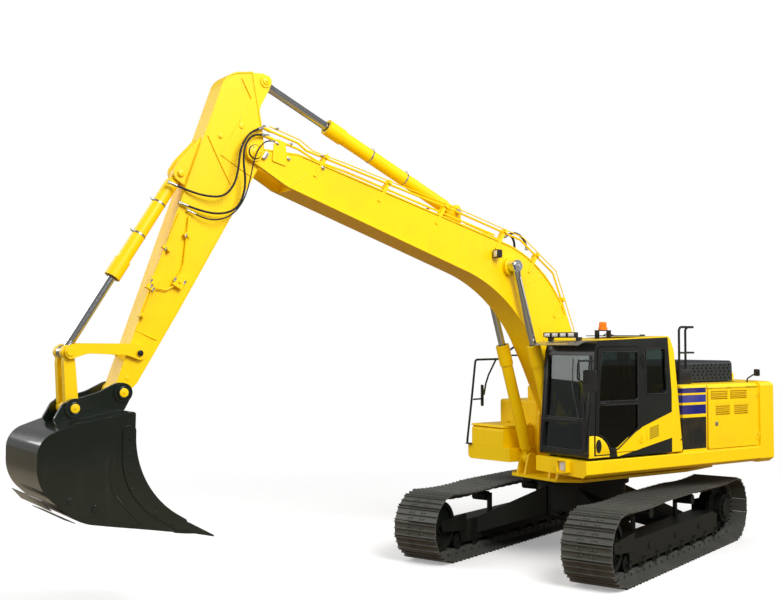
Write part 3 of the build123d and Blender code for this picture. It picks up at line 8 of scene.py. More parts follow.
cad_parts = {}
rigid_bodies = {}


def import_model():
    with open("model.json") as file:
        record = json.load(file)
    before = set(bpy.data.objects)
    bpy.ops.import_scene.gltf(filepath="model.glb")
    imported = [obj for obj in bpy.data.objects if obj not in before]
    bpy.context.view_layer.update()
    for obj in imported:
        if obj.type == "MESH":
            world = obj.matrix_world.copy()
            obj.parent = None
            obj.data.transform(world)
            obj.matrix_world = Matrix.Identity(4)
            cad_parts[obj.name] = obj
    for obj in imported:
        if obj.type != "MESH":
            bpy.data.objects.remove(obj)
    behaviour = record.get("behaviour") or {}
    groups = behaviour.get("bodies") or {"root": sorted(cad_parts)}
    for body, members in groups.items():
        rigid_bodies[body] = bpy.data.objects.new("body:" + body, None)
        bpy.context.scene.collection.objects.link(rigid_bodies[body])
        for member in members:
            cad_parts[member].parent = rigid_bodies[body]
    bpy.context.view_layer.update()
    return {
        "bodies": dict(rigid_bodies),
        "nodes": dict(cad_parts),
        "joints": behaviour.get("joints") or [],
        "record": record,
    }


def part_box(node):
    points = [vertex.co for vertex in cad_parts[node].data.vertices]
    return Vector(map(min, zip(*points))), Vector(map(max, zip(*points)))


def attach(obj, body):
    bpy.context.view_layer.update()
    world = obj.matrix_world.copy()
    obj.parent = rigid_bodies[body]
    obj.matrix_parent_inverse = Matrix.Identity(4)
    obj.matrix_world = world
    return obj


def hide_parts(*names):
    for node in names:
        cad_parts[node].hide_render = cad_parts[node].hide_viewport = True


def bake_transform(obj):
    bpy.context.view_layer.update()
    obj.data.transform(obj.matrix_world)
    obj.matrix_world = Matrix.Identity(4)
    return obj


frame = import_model()
cad = frame["nodes"]

# Place of the machine in the row: the swing axis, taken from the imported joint.
# Every section below gives its places in millimetres from the ground under
# that axis, +X along the boom and +Y to the cab's side, as the solids do.
swing_axis = Vector(next(j for j in frame["joints"] if j["name"] == "swing")["pos_m"])
swing_axis.z = 0.0


def spot(x, y, z):
    """A place of the machine, from millimetres to the row frame's metres."""
    return swing_axis + Vector((x, y, z)) * 0.001


# Camera: a long way off to the left front, at cab height and level with the
# horizon, as the photograph was taken.
camera_data = bpy.data.cameras.new("yard_camera")
camera_data.sensor_width = 36.0
camera_data.lens = 48.565
camera_data.clip_end = 400.0
camera_tilt = 2.192
camera_heading = 235.636
camera = bpy.data.objects.new("yard_camera", camera_data)
camera.location = spot(11274.8, 11424.2, 3102.5)
camera.rotation_euler = (math.radians(90 + camera_tilt), 0.0, math.radians(camera_heading - 90))
bpy.context.scene.collection.objects.link(camera)
bpy.context.scene.camera = camera
bpy.context.scene.view_settings.view_transform = "Standard"


# Studio: one floor, white to the camera, that fades into a white surround, a large soft lamp
# high at the left front, a weaker one behind the boom and an even surround, dimmed in reflections
# as a painted darker reflection. To bounced light the floor is brown, painted shade on the
# machine's undersides, and in reflections warm grey-brown, a painted reflection.
class Signal:
    """A shader socket in a Python expression; arithmetic on it adds Math nodes."""

    def __init__(self, tree, socket=None):
        self.tree = tree
        self.socket = socket

    def node(self, kind, settings=(), values=(), output=0):
        """Any other node: its settings first, then values or signals for its sockets."""
        made = self.tree.nodes.new(kind)
        for name, value in dict(settings).items():
            setattr(made, name, value)
        for name, value in dict(values).items():
            if isinstance(value, Signal):
                self.tree.links.new(value.socket, made.inputs[name])
            else:
                made.inputs[name].default_value = value
        return Signal(self.tree, made.outputs[output] if made.outputs else None)

    def math(self, operation, first, second=0.0):
        return self.node("ShaderNodeMath", {"operation": operation}, {0: first, 1: second})

    def __add__(self, other):
        return self.math("ADD", self, other)

    def __sub__(self, other):
        return self.math("SUBTRACT", self, other)

    def __mul__(self, other):
        return self.math("MULTIPLY", self, other)

    def __rsub__(self, other):
        return self.math("SUBTRACT", other, self)

    __radd__, __rmul__ = __add__, __mul__

    def coordinates(self):
        """Place in the object's own space, in metres."""
        return self.node("ShaderNodeTexCoord", output="Object")

    def step(self, low, high):
        """0 below low, 1 above high, smooth between."""
        return self.node("ShaderNodeMapRange", {"interpolation_type": "SMOOTHSTEP"},
                         {"Value": self, "From Min": low, "From Max": high})

    def inside(self, low, high, soft=0.003):
        """1 between two values, 0 outside them."""
        return self.step(low - soft, low + soft) * (1.0 - self.step(high - soft, high + soft))

    def noise(self, scale, detail=3.0, roughness=0.5):
        """Soft cloudy pattern at so many waves to the metre."""
        return self.node("ShaderNodeTexNoise", {}, {"Vector": self, "Scale": scale, "Detail": detail,
                                                    "Roughness": roughness})

    def blend(self, first, second):
        """Colour between two, by this signal."""
        return self.node("ShaderNodeMix", {"data_type": "RGBA"}, {0: self, 6: first, 7: second}, output=2)


world = bpy.data.worlds.new("white_surround")
bpy.context.scene.world = world
world.use_nodes = True
sky = Signal(world.node_tree)
world.node_tree.nodes.clear()
# The surround lights the machine at 0.68, is white to the camera and through glass, and is dimmed to 0.22 for
# glossy rays: a painted darker reflection.
plain_level = 0.68
mirrored_level = 0.22
ray_kinds = ("Is Camera Ray", "Is Glossy Ray", "Is Transmission Ray")
looked, mirrored, through = [sky.node("ShaderNodeLightPath", output=kind) for kind in ray_kinds]
seen = sky.math("MAXIMUM", looked, through)
level = plain_level + seen * (1.0 - plain_level) - mirrored * (plain_level - mirrored_level)
backdrop = sky.node("ShaderNodeBackground", values={"Color": (1, 1, 1, 1), "Strength": level})
sky.node("ShaderNodeOutputWorld", values={"Surface": backdrop})

lamp_across = 7.0
lamp_aim = spot(1500, 0, 1800)
for name, place, power in (
        ("key_lamp", (4200, 12000, 12000), 2150.0),
        ("side_lamp", (11000, -6000, 7000), 430.0),
        ("rear_lamp", (-9000, 7000, 8000), 300.0)):
    lamp_data = bpy.data.lights.new(name, "AREA")
    lamp_data.size = lamp_across
    lamp_data.energy = power
    lamp = bpy.data.objects.new(name, lamp_data)
    lamp.location = spot(*place)
    lamp.rotation_euler = (lamp_aim - lamp.location).to_track_quat("-Z", "Y").to_euler()
    bpy.context.scene.collection.objects.link(lamp)

floor_radius = 120.0
floor_mesh = bmesh.new()
bmesh.ops.create_circle(floor_mesh, cap_ends=True, segments=96, radius=floor_radius)
floor_data = bpy.data.meshes.new("white_floor")
floor_mesh.to_mesh(floor_data)
floor_mesh.free()
floor = bpy.data.objects.new("white_floor", floor_data)
bpy.context.scene.collection.objects.link(floor)
floor_finish = bpy.data.materials.new("white_floor")
floor_finish.use_nodes = True
floor_finish.node_tree.nodes.clear()
ground = Signal(floor_finish.node_tree)
distance = ground.node("ShaderNodeVectorMath", {"operation": "LENGTH"},
                       {0: ground.coordinates()}, output="Value")
mirrored = ground.node("ShaderNodeLightPath", output="Is Glossy Ray")
bounced = ground.math("MAXIMUM", ground.node("ShaderNodeLightPath", output="Is Diffuse Ray"), mirrored)
white = (1, 1, 1, 1)
# To diffuse rays the floor is brown, painted shade on the machine's undersides; to glossy rays it is warm
# grey-brown, a painted reflection in the chrome rods and the bucket's back.
painted_underside_shade = (0.26, 0.15, 0.06, 1)
painted_reflection_brown = (0.22, 0.19, 0.14, 1)
ground_colour = bounced.blend(white, mirrored.blend(painted_underside_shade, painted_reflection_brown))
matt = ground.node("ShaderNodeBsdfDiffuse", values={"Color": ground_colour})
glow = ground.node("ShaderNodeEmission", values={"Color": white, "Strength": 1.0})
fade_start, fade_end = 6.5, 12.0
shadow_lift = 0.30
far = distance.step(fade_start, fade_end)
lit = 1.0 - (1.0 - far) * (1.0 - shadow_lift * (1.0 - bounced))
mixed = ground.node("ShaderNodeMixShader", values={0: lit * (1.0 - bounced), 1: matt, 2: glow})
ground.node("ShaderNodeOutputMaterial", values={"Surface": mixed})
floor_data.materials.append(floor_finish)


# Undercarriage: welded and cast steel frames, idlers, sprockets and rollers in
# black paint over mill scale, rubbed bare at the edges and dusty low down. The
# engine block and the plain hood over it have the same black.
def finish(name, colour, rough=0.4, metal=0.0, coat=0.0, clear=0.0):
    """New material with its plain values set; returns it with its signal and shader."""
    made = bpy.data.materials.new(name)
    made.use_nodes = True
    shader = made.node_tree.nodes["Principled BSDF"]
    shader.inputs["Base Color"].default_value = colour + (1.0,)
    shader.inputs["Roughness"].default_value = rough
    shader.inputs["Metallic"].default_value = metal
    shader.inputs["Coat Weight"].default_value = coat
    shader.inputs["Transmission Weight"].default_value = clear
    shader.inputs["Specular IOR Level"].default_value = 0.5 if metal or clear else 0.32
    return made, Signal(made.node_tree), shader


def wire(shader, channel, signal):
    shader.id_data.links.new(signal.socket, shader.inputs[channel])


def machine_place(s):
    """Object coordinates, and the x, y and z of the machine in metres."""
    place = s.coordinates()
    axes = [s.node("ShaderNodeSeparateXYZ", values={0: place}, output=name) for name in "XYZ"]
    return place, axes[0] - swing_axis.x, axes[1] - swing_axis.y, axes[2]


def weathered(name, clean, dull, bare, rough, edge=0.004, chips=0.35, dust_top=1.6, coat=0.0, zones=None):
    """Painted or cast surface with cloudy tone, dust low down and bare edges.

    zones, where given, takes x, y and z and returns pairs of a mask and its colour.
    """
    made, s, shader = finish(name, clean, rough, coat=coat)
    place, x, y, z = machine_place(s)
    facing = s.node("ShaderNodeNewGeometry", output="Normal")
    rounded = s.node("ShaderNodeBevel", {"samples": 3}, {"Radius": edge})
    sharp = 1.0 - s.node("ShaderNodeVectorMath", {"operation": "DOT_PRODUCT"}, {0: facing, 1: rounded},
                         output="Value")
    cloud = place.noise(1.7, 4.0, 0.6)
    speck = place.noise(48.0, 5.0, 0.7)
    drawn = s.node("ShaderNodeMapping", values={"Vector": place, "Scale": (9.0, 9.0, 0.8)})
    streak = drawn.noise(1.0, 3.0, 0.6)
    grime = cloud.step(0.45, 0.75) * 0.5 + streak.step(0.52, 0.8) * 0.35
    grime = grime * (1.0 - z.step(0.0, dust_top) * 0.55)
    tone = grime.blend(clean + (1.0,), dull + (1.0,))
    for mask, colour in (zones(x, y, z) if zones else []):
        tone = mask.blend(tone, (grime * 0.3).blend(colour + (1.0,), dull + (1.0,)))
    worn = (sharp.step(0.03, 0.2) * speck.step(0.5, 0.62)) * chips
    wire(shader, "Base Color", worn.blend(tone, bare + (1.0,)))
    wire(shader, "Roughness", rough + grime * 0.25 + worn * 0.2)
    bump = s.node("ShaderNodeBump", values={"Strength": 0.12, "Distance": 0.002,
                                            "Height": place.noise(260.0, 2.0, 0.5), "Normal": rounded})
    wire(shader, "Normal", bump)
    return made


def dress(material, *names):
    """Gives CAD nodes their material."""
    for name in names:
        cad[name].data.materials.clear()
        cad[name].data.materials.append(material)


frame_black = weathered("frame_black", (0.006, 0.008, 0.006), (0.026, 0.022, 0.016), (0.09, 0.08, 0.07), 0.46,
                        edge=0.006, chips=0.5, dust_top=0.8)
dress(frame_black, "undercarriage_frame", "idlers", "sprockets", "track_rollers", "carrier_rollers",
      "swing_bearing", "towing_eyes", "engine", "engine_hood")

# Tracks: 54 rolled shoes a side, each with three bars, bolted to forged links
# on pins and worn bright on the bars. They stand for the solids' plain loops.
shoe_steel = weathered("shoe_steel", (0.070, 0.072, 0.064), (0.15, 0.140, 0.122), (0.36, 0.35, 0.33), 0.42,
                       edge=0.005, chips=0.9, dust_top=0.8)
machine = Matrix.Translation(swing_axis) @ Matrix.Scale(0.001, 4)


def edges_of(verts):
    return {edge for vert in verts for edge in vert.link_edges}


def bevelled(shape, edges, round_by):
    bmesh.ops.bevel(shape, geom=list(edges), offset=round_by * 0.001, offset_type="OFFSET", segments=2,
                    profile=0.5, affect="EDGES", clamp_overlap=True, material=-1)


turns = {"X": Matrix.Rotation(math.radians(90), 4, "Y"), "Y": Matrix.Rotation(math.radians(90), 4, "X"),
         "Z": Matrix.Identity(4)}


def disc(shape, frame, centre, radius, length, axis="Y", round_by=0.0, sides=32):
    """Round bar about an axis through its middle."""
    made = bmesh.ops.create_cone(shape, cap_ends=True, segments=sides, radius1=radius, radius2=radius,
                                 depth=length, matrix=frame @ Matrix.Translation(centre) @ turns[axis])
    if round_by:
        rims = [edge for edge in edges_of(made["verts"]) if len(edge.link_faces) == 2
                and any(len(face.verts) > 4 for face in edge.link_faces)]
        bevelled(shape, rims, round_by)


def slab(shape, frame, corners, y_low, y_high, round_by=0.0):
    """Outline in x and z, drawn out along y."""
    ring = [shape.verts.new(frame @ Vector((x, y_low, z))) for x, z in corners]
    face = shape.faces.new(ring)
    grown = bmesh.ops.extrude_face_region(shape, geom=[face])["geom"]
    top = [item for item in grown if isinstance(item, bmesh.types.BMVert)]
    push = frame.to_3x3() @ Vector((0, y_high - y_low, 0))
    bmesh.ops.translate(shape, verts=top, vec=push)
    if round_by:
        bevelled(shape, edges_of(ring + top), round_by)


def piece(name, shape, material, body, smooth=35.0):
    """Object of a finished mesh, riding on its body."""
    bmesh.ops.recalc_face_normals(shape, faces=shape.faces)
    data = bpy.data.meshes.new(name)
    shape.to_mesh(data)
    shape.free()
    data.materials.append(material)
    data.shade_smooth()
    data.set_sharp_from_angle(angle=math.radians(smooth))
    made = bpy.data.objects.new(name, data)
    bpy.context.scene.collection.objects.link(made)
    if body:
        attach(made, body)
    return made


track_turn = 18.7
shoe_count = 54
tumbler_spread = 4025.0
pitch_radius = 451.0
axle_height = 490.5
track_sag = 26.0
carrier_spread = 1500.0
shoe_width = 690.0
track_gauge = 2590.0
loop_length = 2 * tumbler_spread + 2 * math.pi * pitch_radius
under = machine @ Matrix.Rotation(math.radians(track_turn), 4, "Z")


def loop_point(distance):
    """Place of the shoes' inner face along the loop, in x and z."""
    half = tumbler_spread / 2
    arc = math.pi * pitch_radius
    s = distance % loop_length
    if s < tumbler_spread:
        return Vector((-half + s, 0, axle_height - pitch_radius))
    if s < tumbler_spread + arc:
        turn = -math.pi / 2 + (s - tumbler_spread) / pitch_radius
        return Vector((half + pitch_radius * math.cos(turn), 0, axle_height + pitch_radius * math.sin(turn)))
    if s < 2 * tumbler_spread + arc:
        x = half - (s - tumbler_spread - arc)
        bay = (tumbler_spread - carrier_spread) / 2
        t = min((half - abs(x)) / bay, 1.0)
        return Vector((x, 0, axle_height + pitch_radius - 4 * track_sag * t * (1 - t)))
    turn = math.pi / 2 + (s - 2 * tumbler_spread - arc) / pitch_radius
    return Vector((-half + pitch_radius * math.cos(turn), 0, axle_height + pitch_radius * math.sin(turn)))


shoe_outline = [(-100, 1), (-98, 13), (-94, 38), (-86, 38), (-78, 13), (-10, 13), (-4, 38), (4, 38), (10, 13),
                (72, 13), (82, 38), (90, 38), (96, 13), (99, 1)]
link_outline = [(-104, -20), (-92, -84), (-40, -90), (40, -90), (92, -84), (104, -20), (86, 0), (-86, 0)]
link_offset, link_half_width = 95, 24
link_pin_place = (100, -46)
bolt_offsets = (69, 121)
bolt_places = (-44, 41)
unit = Matrix.Identity(4)
one_shoe = bmesh.new()
slab(one_shoe, unit, shoe_outline, -shoe_width / 2, shoe_width / 2)
for side in (-1, 1):
    for y in bolt_offsets:
        for x in bolt_places:
            disc(one_shoe, unit, (x, side * y, 19), 15, 16, "Z", sides=6)
    middle = side * link_offset
    slab(one_shoe, unit, link_outline, middle - link_half_width, middle + link_half_width)
    disc(one_shoe, unit, (link_pin_place[0], side * 127, link_pin_place[1]), 24, 18, "Y", sides=12)
disc(one_shoe, unit, (link_pin_place[0], 0, link_pin_place[1]), 31, 150, "Y", sides=12)
shoe_data = bpy.data.meshes.new("one_shoe")
one_shoe.to_mesh(shoe_data)
one_shoe.free()
for side, node in ((1, "track_left"), (-1, "track_right")):
    loop = bmesh.new()
    for i in range(shoe_count):
        start = loop_point(loop_length * i / shoe_count)
        end = loop_point(loop_length * (i + 1) / shoe_count)
        along = (end - start).normalized()
        across = Vector((0, -1, 0))
        turn = Matrix((along, across, along.cross(across))).transposed().to_4x4()
        first = len(loop.verts)
        loop.from_mesh(shoe_data)
        loop.verts.ensure_lookup_table()
        middle = Matrix.Translation((start + end) / 2 + Vector((0, side * track_gauge / 2, 0)))
        bmesh.ops.transform(loop, matrix=under @ middle @ turn, verts=loop.verts[first:])
    shoes = piece("track_shoes_left" if side > 0 else "track_shoes_right", loop, shoe_steel, "undercarriage",
                  30.0)
    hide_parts(node)


# Running gear: the bolts of the final drives and idlers, the rollers' end caps
# with their screws and the guard plates, all steel in the frame's black.
def block(shape, frame, low, high, round_by=0.0):
    """Box between two corners, with rounded edges where asked."""
    low, high = Vector(low), Vector(high)
    centre = Matrix.Translation((low + high) / 2)
    size = Matrix.Diagonal(tuple(high - low) + (1.0,))
    made = bmesh.ops.create_cube(shape, size=1.0, matrix=frame @ centre @ size)
    if round_by:
        bevelled(shape, edges_of(made["verts"]), round_by)


frame_half_width = 165
bolt_circles = [
    # end of the track, radius, bolts
    (-1, 205, 16),
    (1, 120, 8),
]
roller_count = 8
roller_reach = 1560
roller_height = 190
guard_places = (-900, 0, 900)
running = bmesh.new()
for side in (-1, 1):
    outer = side * (track_gauge / 2 + frame_half_width)
    for end, radius, count in bolt_circles:
        for turn in range(count):
            angle = 2 * math.pi * turn / count
            disc(running, under, (end * tumbler_spread / 2 + radius * math.cos(angle), outer + side * 22,
                                  axle_height + radius * math.sin(angle)), 13, 26, "Y", sides=6)
    for i in range(roller_count):
        x = -roller_reach + 2 * roller_reach * i / (roller_count - 1)
        disc(running, under, (x, outer + side * 4, roller_height), 42, 24, "Y", 5, sides=24)
        for turn in (-30, 30):
            disc(running, under, (x + turn, outer + side * 8, roller_height + 60), 11, 22, "Y", sides=6)
    for x in guard_places:
        face = outer + side * 12 + (6 if side < 0 else 0)
        block(running, under, (x - 60, outer - 6, 330), (x + 60, face, 400), 4)
piece("running_gear_bolts", running, frame_black, "undercarriage")

# Machine paint: two coats of gloss yellow over primer on welded plate. It has
# a faint orange peel, dulls and collects dust low down, and wears at edges.
yellow = (0.97, 0.655, 0.0)
yellow_dull = (0.70, 0.40, 0.004)
primer = (0.10, 0.09, 0.07)
black = (0.012, 0.014, 0.013)
paint = {"dull": yellow_dull, "bare": primer, "rough": 0.34, "coat": 0.04, "chips": 0.18}
machine_yellow = weathered("machine_yellow", yellow, **paint)
dress(machine_yellow, "boom", "arm", "boom_cylinder_tubes", "arm_cylinder_tube", "bucket_cylinder_tube",
      "revolving_frame", "counterweight", "pump_room", "pump_door", "hydraulic_tank", "fuel_tank",
      "tool_box", "tool_box_lid", "battery_room", "boom_pipes", "arm_pipes", "lifting_eyes",
      "tension_link", "bucket_link")


# Left side panels: pressed steel in the same yellow, with three blue bands and
# a plain black block sprayed over stencils, a plated latch, louvre ribs and
# black sealing strips between the panels.
deep_blue = (0.004, 0.010, 0.17)
pale_blue = (0.030, 0.040, 0.27)
bands = [
    # low and high edge in metres, colour
    (2.348, 2.420, deep_blue),
    (2.212, 2.320, pale_blue),
    (2.045, 2.178, deep_blue),
    (1.548, 2.000, black),
]


def side_bands(x, y, z):
    """Masks and colours of the bands between the cab and the cooling door."""
    side = x.inside(-1.128, -0.600)
    return [(side * z.inside(low, high), colour) for low, high, colour in bands]


banded_yellow = weathered("banded_yellow", yellow, zones=side_bands, **paint)
dress(banded_yellow, "left_body", "cooling_door")
zinc, s, shader = finish("zinc_plate", (0.56, 0.57, 0.58), 0.32, metal=1.0)
place = s.coordinates()
wire(shader, "Roughness", 0.26 + place.noise(60.0, 3.0, 0.6) * 0.25)
bright_zinc, stained_zinc = (0.60, 0.61, 0.62, 1), (0.36, 0.34, 0.30, 1)
wire(shader, "Base Color", place.noise(22.0, 3.0, 0.6).step(0.3, 0.8).blend(bright_zinc, stained_zinc))
rubber, s, shader = finish("hose_rubber", (0.012, 0.012, 0.012), 0.5)
place = s.coordinates()
braid = place.noise(190.0, 2.0, 0.5)
fresh_rubber, dusty_rubber = (0.010, 0.010, 0.011, 1), (0.045, 0.042, 0.038, 1)
wire(shader, "Base Color", place.noise(14.0, 3.0, 0.6).step(0.45, 0.8).blend(fresh_rubber, dusty_rubber))
wire(shader, "Roughness", 0.42 + braid * 0.2)
wire(shader, "Normal", s.node("ShaderNodeBump", values={"Strength": 0.4, "Distance": 0.002, "Height": braid}))


def smooth_route(rows, steps=10):
    """Points in metres along the smooth line that a route's control points draw."""
    data = bpy.data.curves.new("route", "CURVE")
    data.dimensions = "3D"
    data.resolution_u = steps
    spline = data.splines.new("NURBS")
    spline.points.add(len(rows) - 1)
    for point, row in zip(spline.points, rows):
        point.co = tuple(row) + (1.0,)
    spline.order_u = 3
    spline.use_endpoint_u = True
    holder = bpy.data.objects.new("route", data)
    drawn = bpy.data.meshes.new_from_object(holder)
    points = [vert.co.copy() for vert in drawn.vertices]
    bpy.data.objects.remove(holder)
    bpy.data.curves.remove(data)
    bpy.data.meshes.remove(drawn)
    return points


def sweep(shape, points, radius, sides=12):
    """Round section carried along points in metres without twisting."""
    ahead = (points[1] - points[0]).normalized()
    turn = ahead.to_track_quat("Z", "Y")
    loops = []
    for i, point in enumerate(points):
        here = (points[min(i + 1, len(points) - 1)] - points[max(i - 1, 0)]).normalized()
        turn = ahead.rotation_difference(here) @ turn
        ahead = here
        ring = bmesh.ops.create_circle(shape, segments=sides, radius=radius,
                                       matrix=Matrix.Translation(point) @ turn.to_matrix().to_4x4())
        loops.append(list(edges_of(ring["verts"])))
    for first, second in zip(loops, loops[1:]):
        bmesh.ops.bridge_loops(shape, edges=first + second)
    bmesh.ops.holes_fill(shape, edges=loops[0] + loops[-1], sides=sides)


def bar(shape, frame, rows, radius, sides=10, steps=6):
    """Bent round bar through a few points of a frame."""
    points = [frame @ Vector(row) for row in rows]
    if len(points) > 2:
        points = smooth_route(points, steps)
    sweep(shape, points, radius * 0.001, sides)


trim = bmesh.new()
block(trim, machine, (-1372, 1404, 1858), (-1312, 1412, 1918), 3)
disc(trim, machine, (-1342, 1414, 1892), 13, 10, "Y", 2, sides=20)
for z in (1700, 2280):
    disc(trim, machine, (-2288, 1409, z), 8, 10, "Y", 2, sides=12)
piece("side_latch", trim, zinc, "cooling_door")
louvre_fields = ((-1410, 2352), (-1850, 2352), (-1480, 2135), (-1900, 2135))
louvre_rows = 8
louvre_pitch = 16
louvre_half_length = 158
louvre_plane = 1406
slots = bmesh.new()
for x, z in louvre_fields:
    for row in range(louvre_rows):
        height = z + 58 - louvre_pitch * row
        ends = [(x + end * louvre_half_length, louvre_plane, height) for end in (-1, 1)]
        bar(slots, machine, ends, 2.6, 6)
piece("louvre_ribs", slots, machine_yellow, "cooling_door")
seam_inner, seam_outer = 1389, 1393.5
strips = bmesh.new()
for x in (-612, -1152):
    block(strips, machine, (x - 3, seam_inner, 1520), (x + 3, seam_outer, 2455))
block(strips, machine, (-2330, seam_inner, 2408), (-612, seam_outer, 2413))
piece("panel_seams", strips, rubber, "upper")

# Rear deck: hand rails of bent tube, the grey engine cover, a step plate and a
# foot box, all steel in satin black or dark grey, bolted to the deck.
satin_black = ((0.014, 0.014, 0.015), (0.045, 0.043, 0.040), (0.06, 0.06, 0.06), 0.38)
cab_black = weathered("cab_black", *satin_black, edge=0.003, chips=0.15)
dress(cab_black, "hand_rails", "mirrors", "cab_consoles", "boom_lamp")
cover_grey = weathered("cover_grey", (0.022, 0.027, 0.029), (0.055, 0.055, 0.052), (0.15, 0.15, 0.15), 0.40,
                       edge=0.003, chips=0.3)
dress(cover_grey, "engine_cover")
boxes = bmesh.new()
block(boxes, machine, (-1080, 1040, 2467), (-800, 1180, 2680), 8)
block(boxes, machine, (-1092, -600, 2482), (-640, 930, 2500), 6)
piece("rail_foot_box", boxes, cab_black, "upper")


# Cab: welded steel shell in satin black with a yellow roof, rear pillar and
# lower wedge, sprayed over masks. The panes are toughened glass, tinted
# grey-green and dusty, held in rubber.
def cab_zones(x, y, z):
    """Masks of the yellow roof, rear pillar and wedge, in metres."""
    roof = (z - 3.135 + x * 0.0314).step(-0.004, 0.004) * (1.0 - x.step(1.10, 1.11))
    rear = 1.0 - (x + 0.371 - (z - 2.376).math("MAXIMUM", z - 2.376, 0.0) * 0.0964).step(-0.004, 0.004)
    top = z.math("MINIMUM", 1.673 + (0.761 - x) * 0.454, 1.916 + (0.226 - x) * 0.305)
    wedge = (top - z).step(-0.003, 0.003) * (z - 1.538 - (0.717 - x) * 0.1837).step(-0.003, 0.003)
    wedge = wedge * (0.717 + (z - 1.538) * 0.326 - x).step(-0.003, 0.003)
    return [(roof, yellow), (rear, yellow), (wedge * y.step(1.30, 1.31), yellow)]


cab_paint = weathered("cab_paint", black, (0.030, 0.029, 0.026), (0.06, 0.06, 0.06), 0.28,
                      edge=0.003, chips=0.12, coat=0.2, zones=cab_zones)
dress(cab_paint, "cab_shell", "cab_door")

panes = [
    # material, tint, node
    ("cab_pane", (0.22, 0.29, 0.27), "cab_glass"),
    # The door's pane is a darker copy of the cab glass: tinted glass, darkened further as painted shade of
    # the cab's interior behind it.
    ("door_pane_painted_shade", (0.09, 0.13, 0.11), "door_glass"),
]
for name, tint, node in panes:
    pane, s, shader = finish(name, tint, 0.02, clear=1.0)
    place = s.coordinates()
    wire(shader, "Roughness", 0.01 + place.noise(6.0, 4.0, 0.6).step(0.5, 0.9) * 0.06)
    dress(pane, node)


def window_seal(shape, corners, y, radius=9.0):
    """Rubber section that follows a window's outline on a plane of one y."""
    rows = []
    for before, here, after in zip(corners[-1:] + corners[:-1], corners, corners[1:] + corners[:1]):
        back = Vector(here) + (Vector(before) - Vector(here)).normalized() * 55
        ahead = Vector(here) + (Vector(after) - Vector(here)).normalized() * 55
        rows += [(back.x, y, back.y), (here[0], y, here[1]), (ahead.x, y, ahead.y)]
    rows.append(rows[0])
    bar(shape, machine, rows, radius, 8, 4)


cab_side = 1412
door_face = 1421
rear_window = [(-270, 2360), (150, 2360), (150, 2985), (-235, 2985)]
door_windows = [[(324, 2285), (1075, 2285), (1025, 2945), (324, 2945)],
                [(324, 1900), (720, 1640), (850, 1640), (950, 1780), (1090, 1856), (1078, 2235), (324, 2235)]]
seals = bmesh.new()
window_seal(seals, rear_window, cab_side + 1)
piece("rear_window_seal", seals, rubber, "upper")
seals = bmesh.new()
for window in door_windows:
    window_seal(seals, window, door_face)
piece("door_window_seals", seals, rubber, "cab_door")

# Cab panels: pressed yellow covers low on the cab's corner with a moulded black oval, louvre
# lines in black, painted shade of the louvre's slots, and ribs pressed in the wedge.
cover_x, cover_z, cover_radius = 1180, 1532, 306
cover_front, cover_low = 1142, 1583
arc = []
for turn in range(90, 181, 10):
    x = cover_x + cover_radius * math.cos(math.radians(turn))
    z = cover_z + cover_radius * math.sin(math.radians(turn))
    if x < cover_front and z > cover_low:
        arc.append((x, z))
corner = bmesh.new()
slab(corner, machine, [(cover_front, cover_low), (cover_front, 1834)] + arc + [(880, cover_low)],
     door_face - 0.5, door_face + 5, 1.5)
piece("corner_cover_door", corner, machine_yellow, "cab_door")
sill_outline = [(1262, 1545), (1248, 1836), (1166, 1836), (1166, 1566), (880, 1566), (876, 1545)]
corner = bmesh.new()
slab(corner, machine, sill_outline, cab_side + 0.5, cab_side + 7, 1.5)
piece("corner_cover_sill", corner, machine_yellow, "upper")
oval_centre = machine @ Vector((1090, door_face + 7.5, 1698))
oval_half_width = 50
oval_stretch = 1.8
oval = bmesh.new()
bmesh.ops.create_cone(oval, cap_ends=True, segments=40, radius1=oval_half_width,
                      radius2=oval_half_width - 4, depth=6,
                      matrix=Matrix.Translation(oval_centre) @ Matrix.Scale(0.001, 4) @ turns["Y"])
bmesh.ops.scale(oval, vec=(1, 1, oval_stretch), verts=oval.verts, space=Matrix.Translation(-oval_centre))
piece("corner_oval", oval, cab_black, "cab_door")

# Black bars across the yellow wedge: painted shade of the louvre's slots.
slot_shade_bars = bmesh.new()
for row in range(7):
    z = 1735 + 24 * row
    bar(slot_shade_bars, machine, [(88, cab_side + 1, z + 6), (-98, cab_side + 1, z + 50)], 4.5, 6)
piece("wedge_louvre_slot_shade", slot_shade_bars, cab_black, "upper")
ribs = bmesh.new()
for row in range(6):
    z = 1775 + 45 * row
    bar(ribs, machine, [(-130, cab_side - 0.5, z + 12), (-350, cab_side - 0.5, z + 58)], 3.0, 6)
for x, z in ((128, 1742), (222, 1722)):
    block(ribs, machine, (x, cab_side - 1, z), (x + 18, cab_side + 6, z + (126 if x < 200 else 124)), 3)
piece("wedge_ribs", ribs, machine_yellow, "upper")

# Cab fittings: bent-tube grip, door handle, wiper and the windscreen's frame
# strips, all black, screwed on.
grips = bmesh.new()
grip_x, grip_low, grip_high = 205, 2718, 2915
grip_rows = [(-4, grip_high), (14, 2900), (16, 2870), (16, 2760), (14, 2733), (-4, grip_low)]
bar(grips, machine, [(grip_x, cab_side + out, z) for out, z in grip_rows], 8, 10)
for z in (grip_high, grip_low):
    disc(grips, machine, (grip_x, cab_side + 2, z), 20, 5, "Y", 1, sides=20)
for z in (1700, 2600):
    disc(grips, machine, (-560, cab_side + 2, z), 12, 8, "Y", 2, sides=16)
piece("cab_grip", grips, cab_black, "upper")
handle = bmesh.new()
handle_z = 2258
block(handle, machine, (960, door_face, handle_z - 20), (1065, door_face + 11, handle_z + 20), 4)
grip_line = [(972, 1430), (985, 1450), (1040, 1450), (1053, 1430)]
bar(handle, machine, [(x, y, handle_z) for x, y in grip_line], 8, 8)
bar(handle, machine, [(330, 1400, handle_z), (700, 1380, handle_z + 4), (1040, 1400, handle_z)], 12, 8)
piece("door_handle", handle, cab_black, "cab_door")

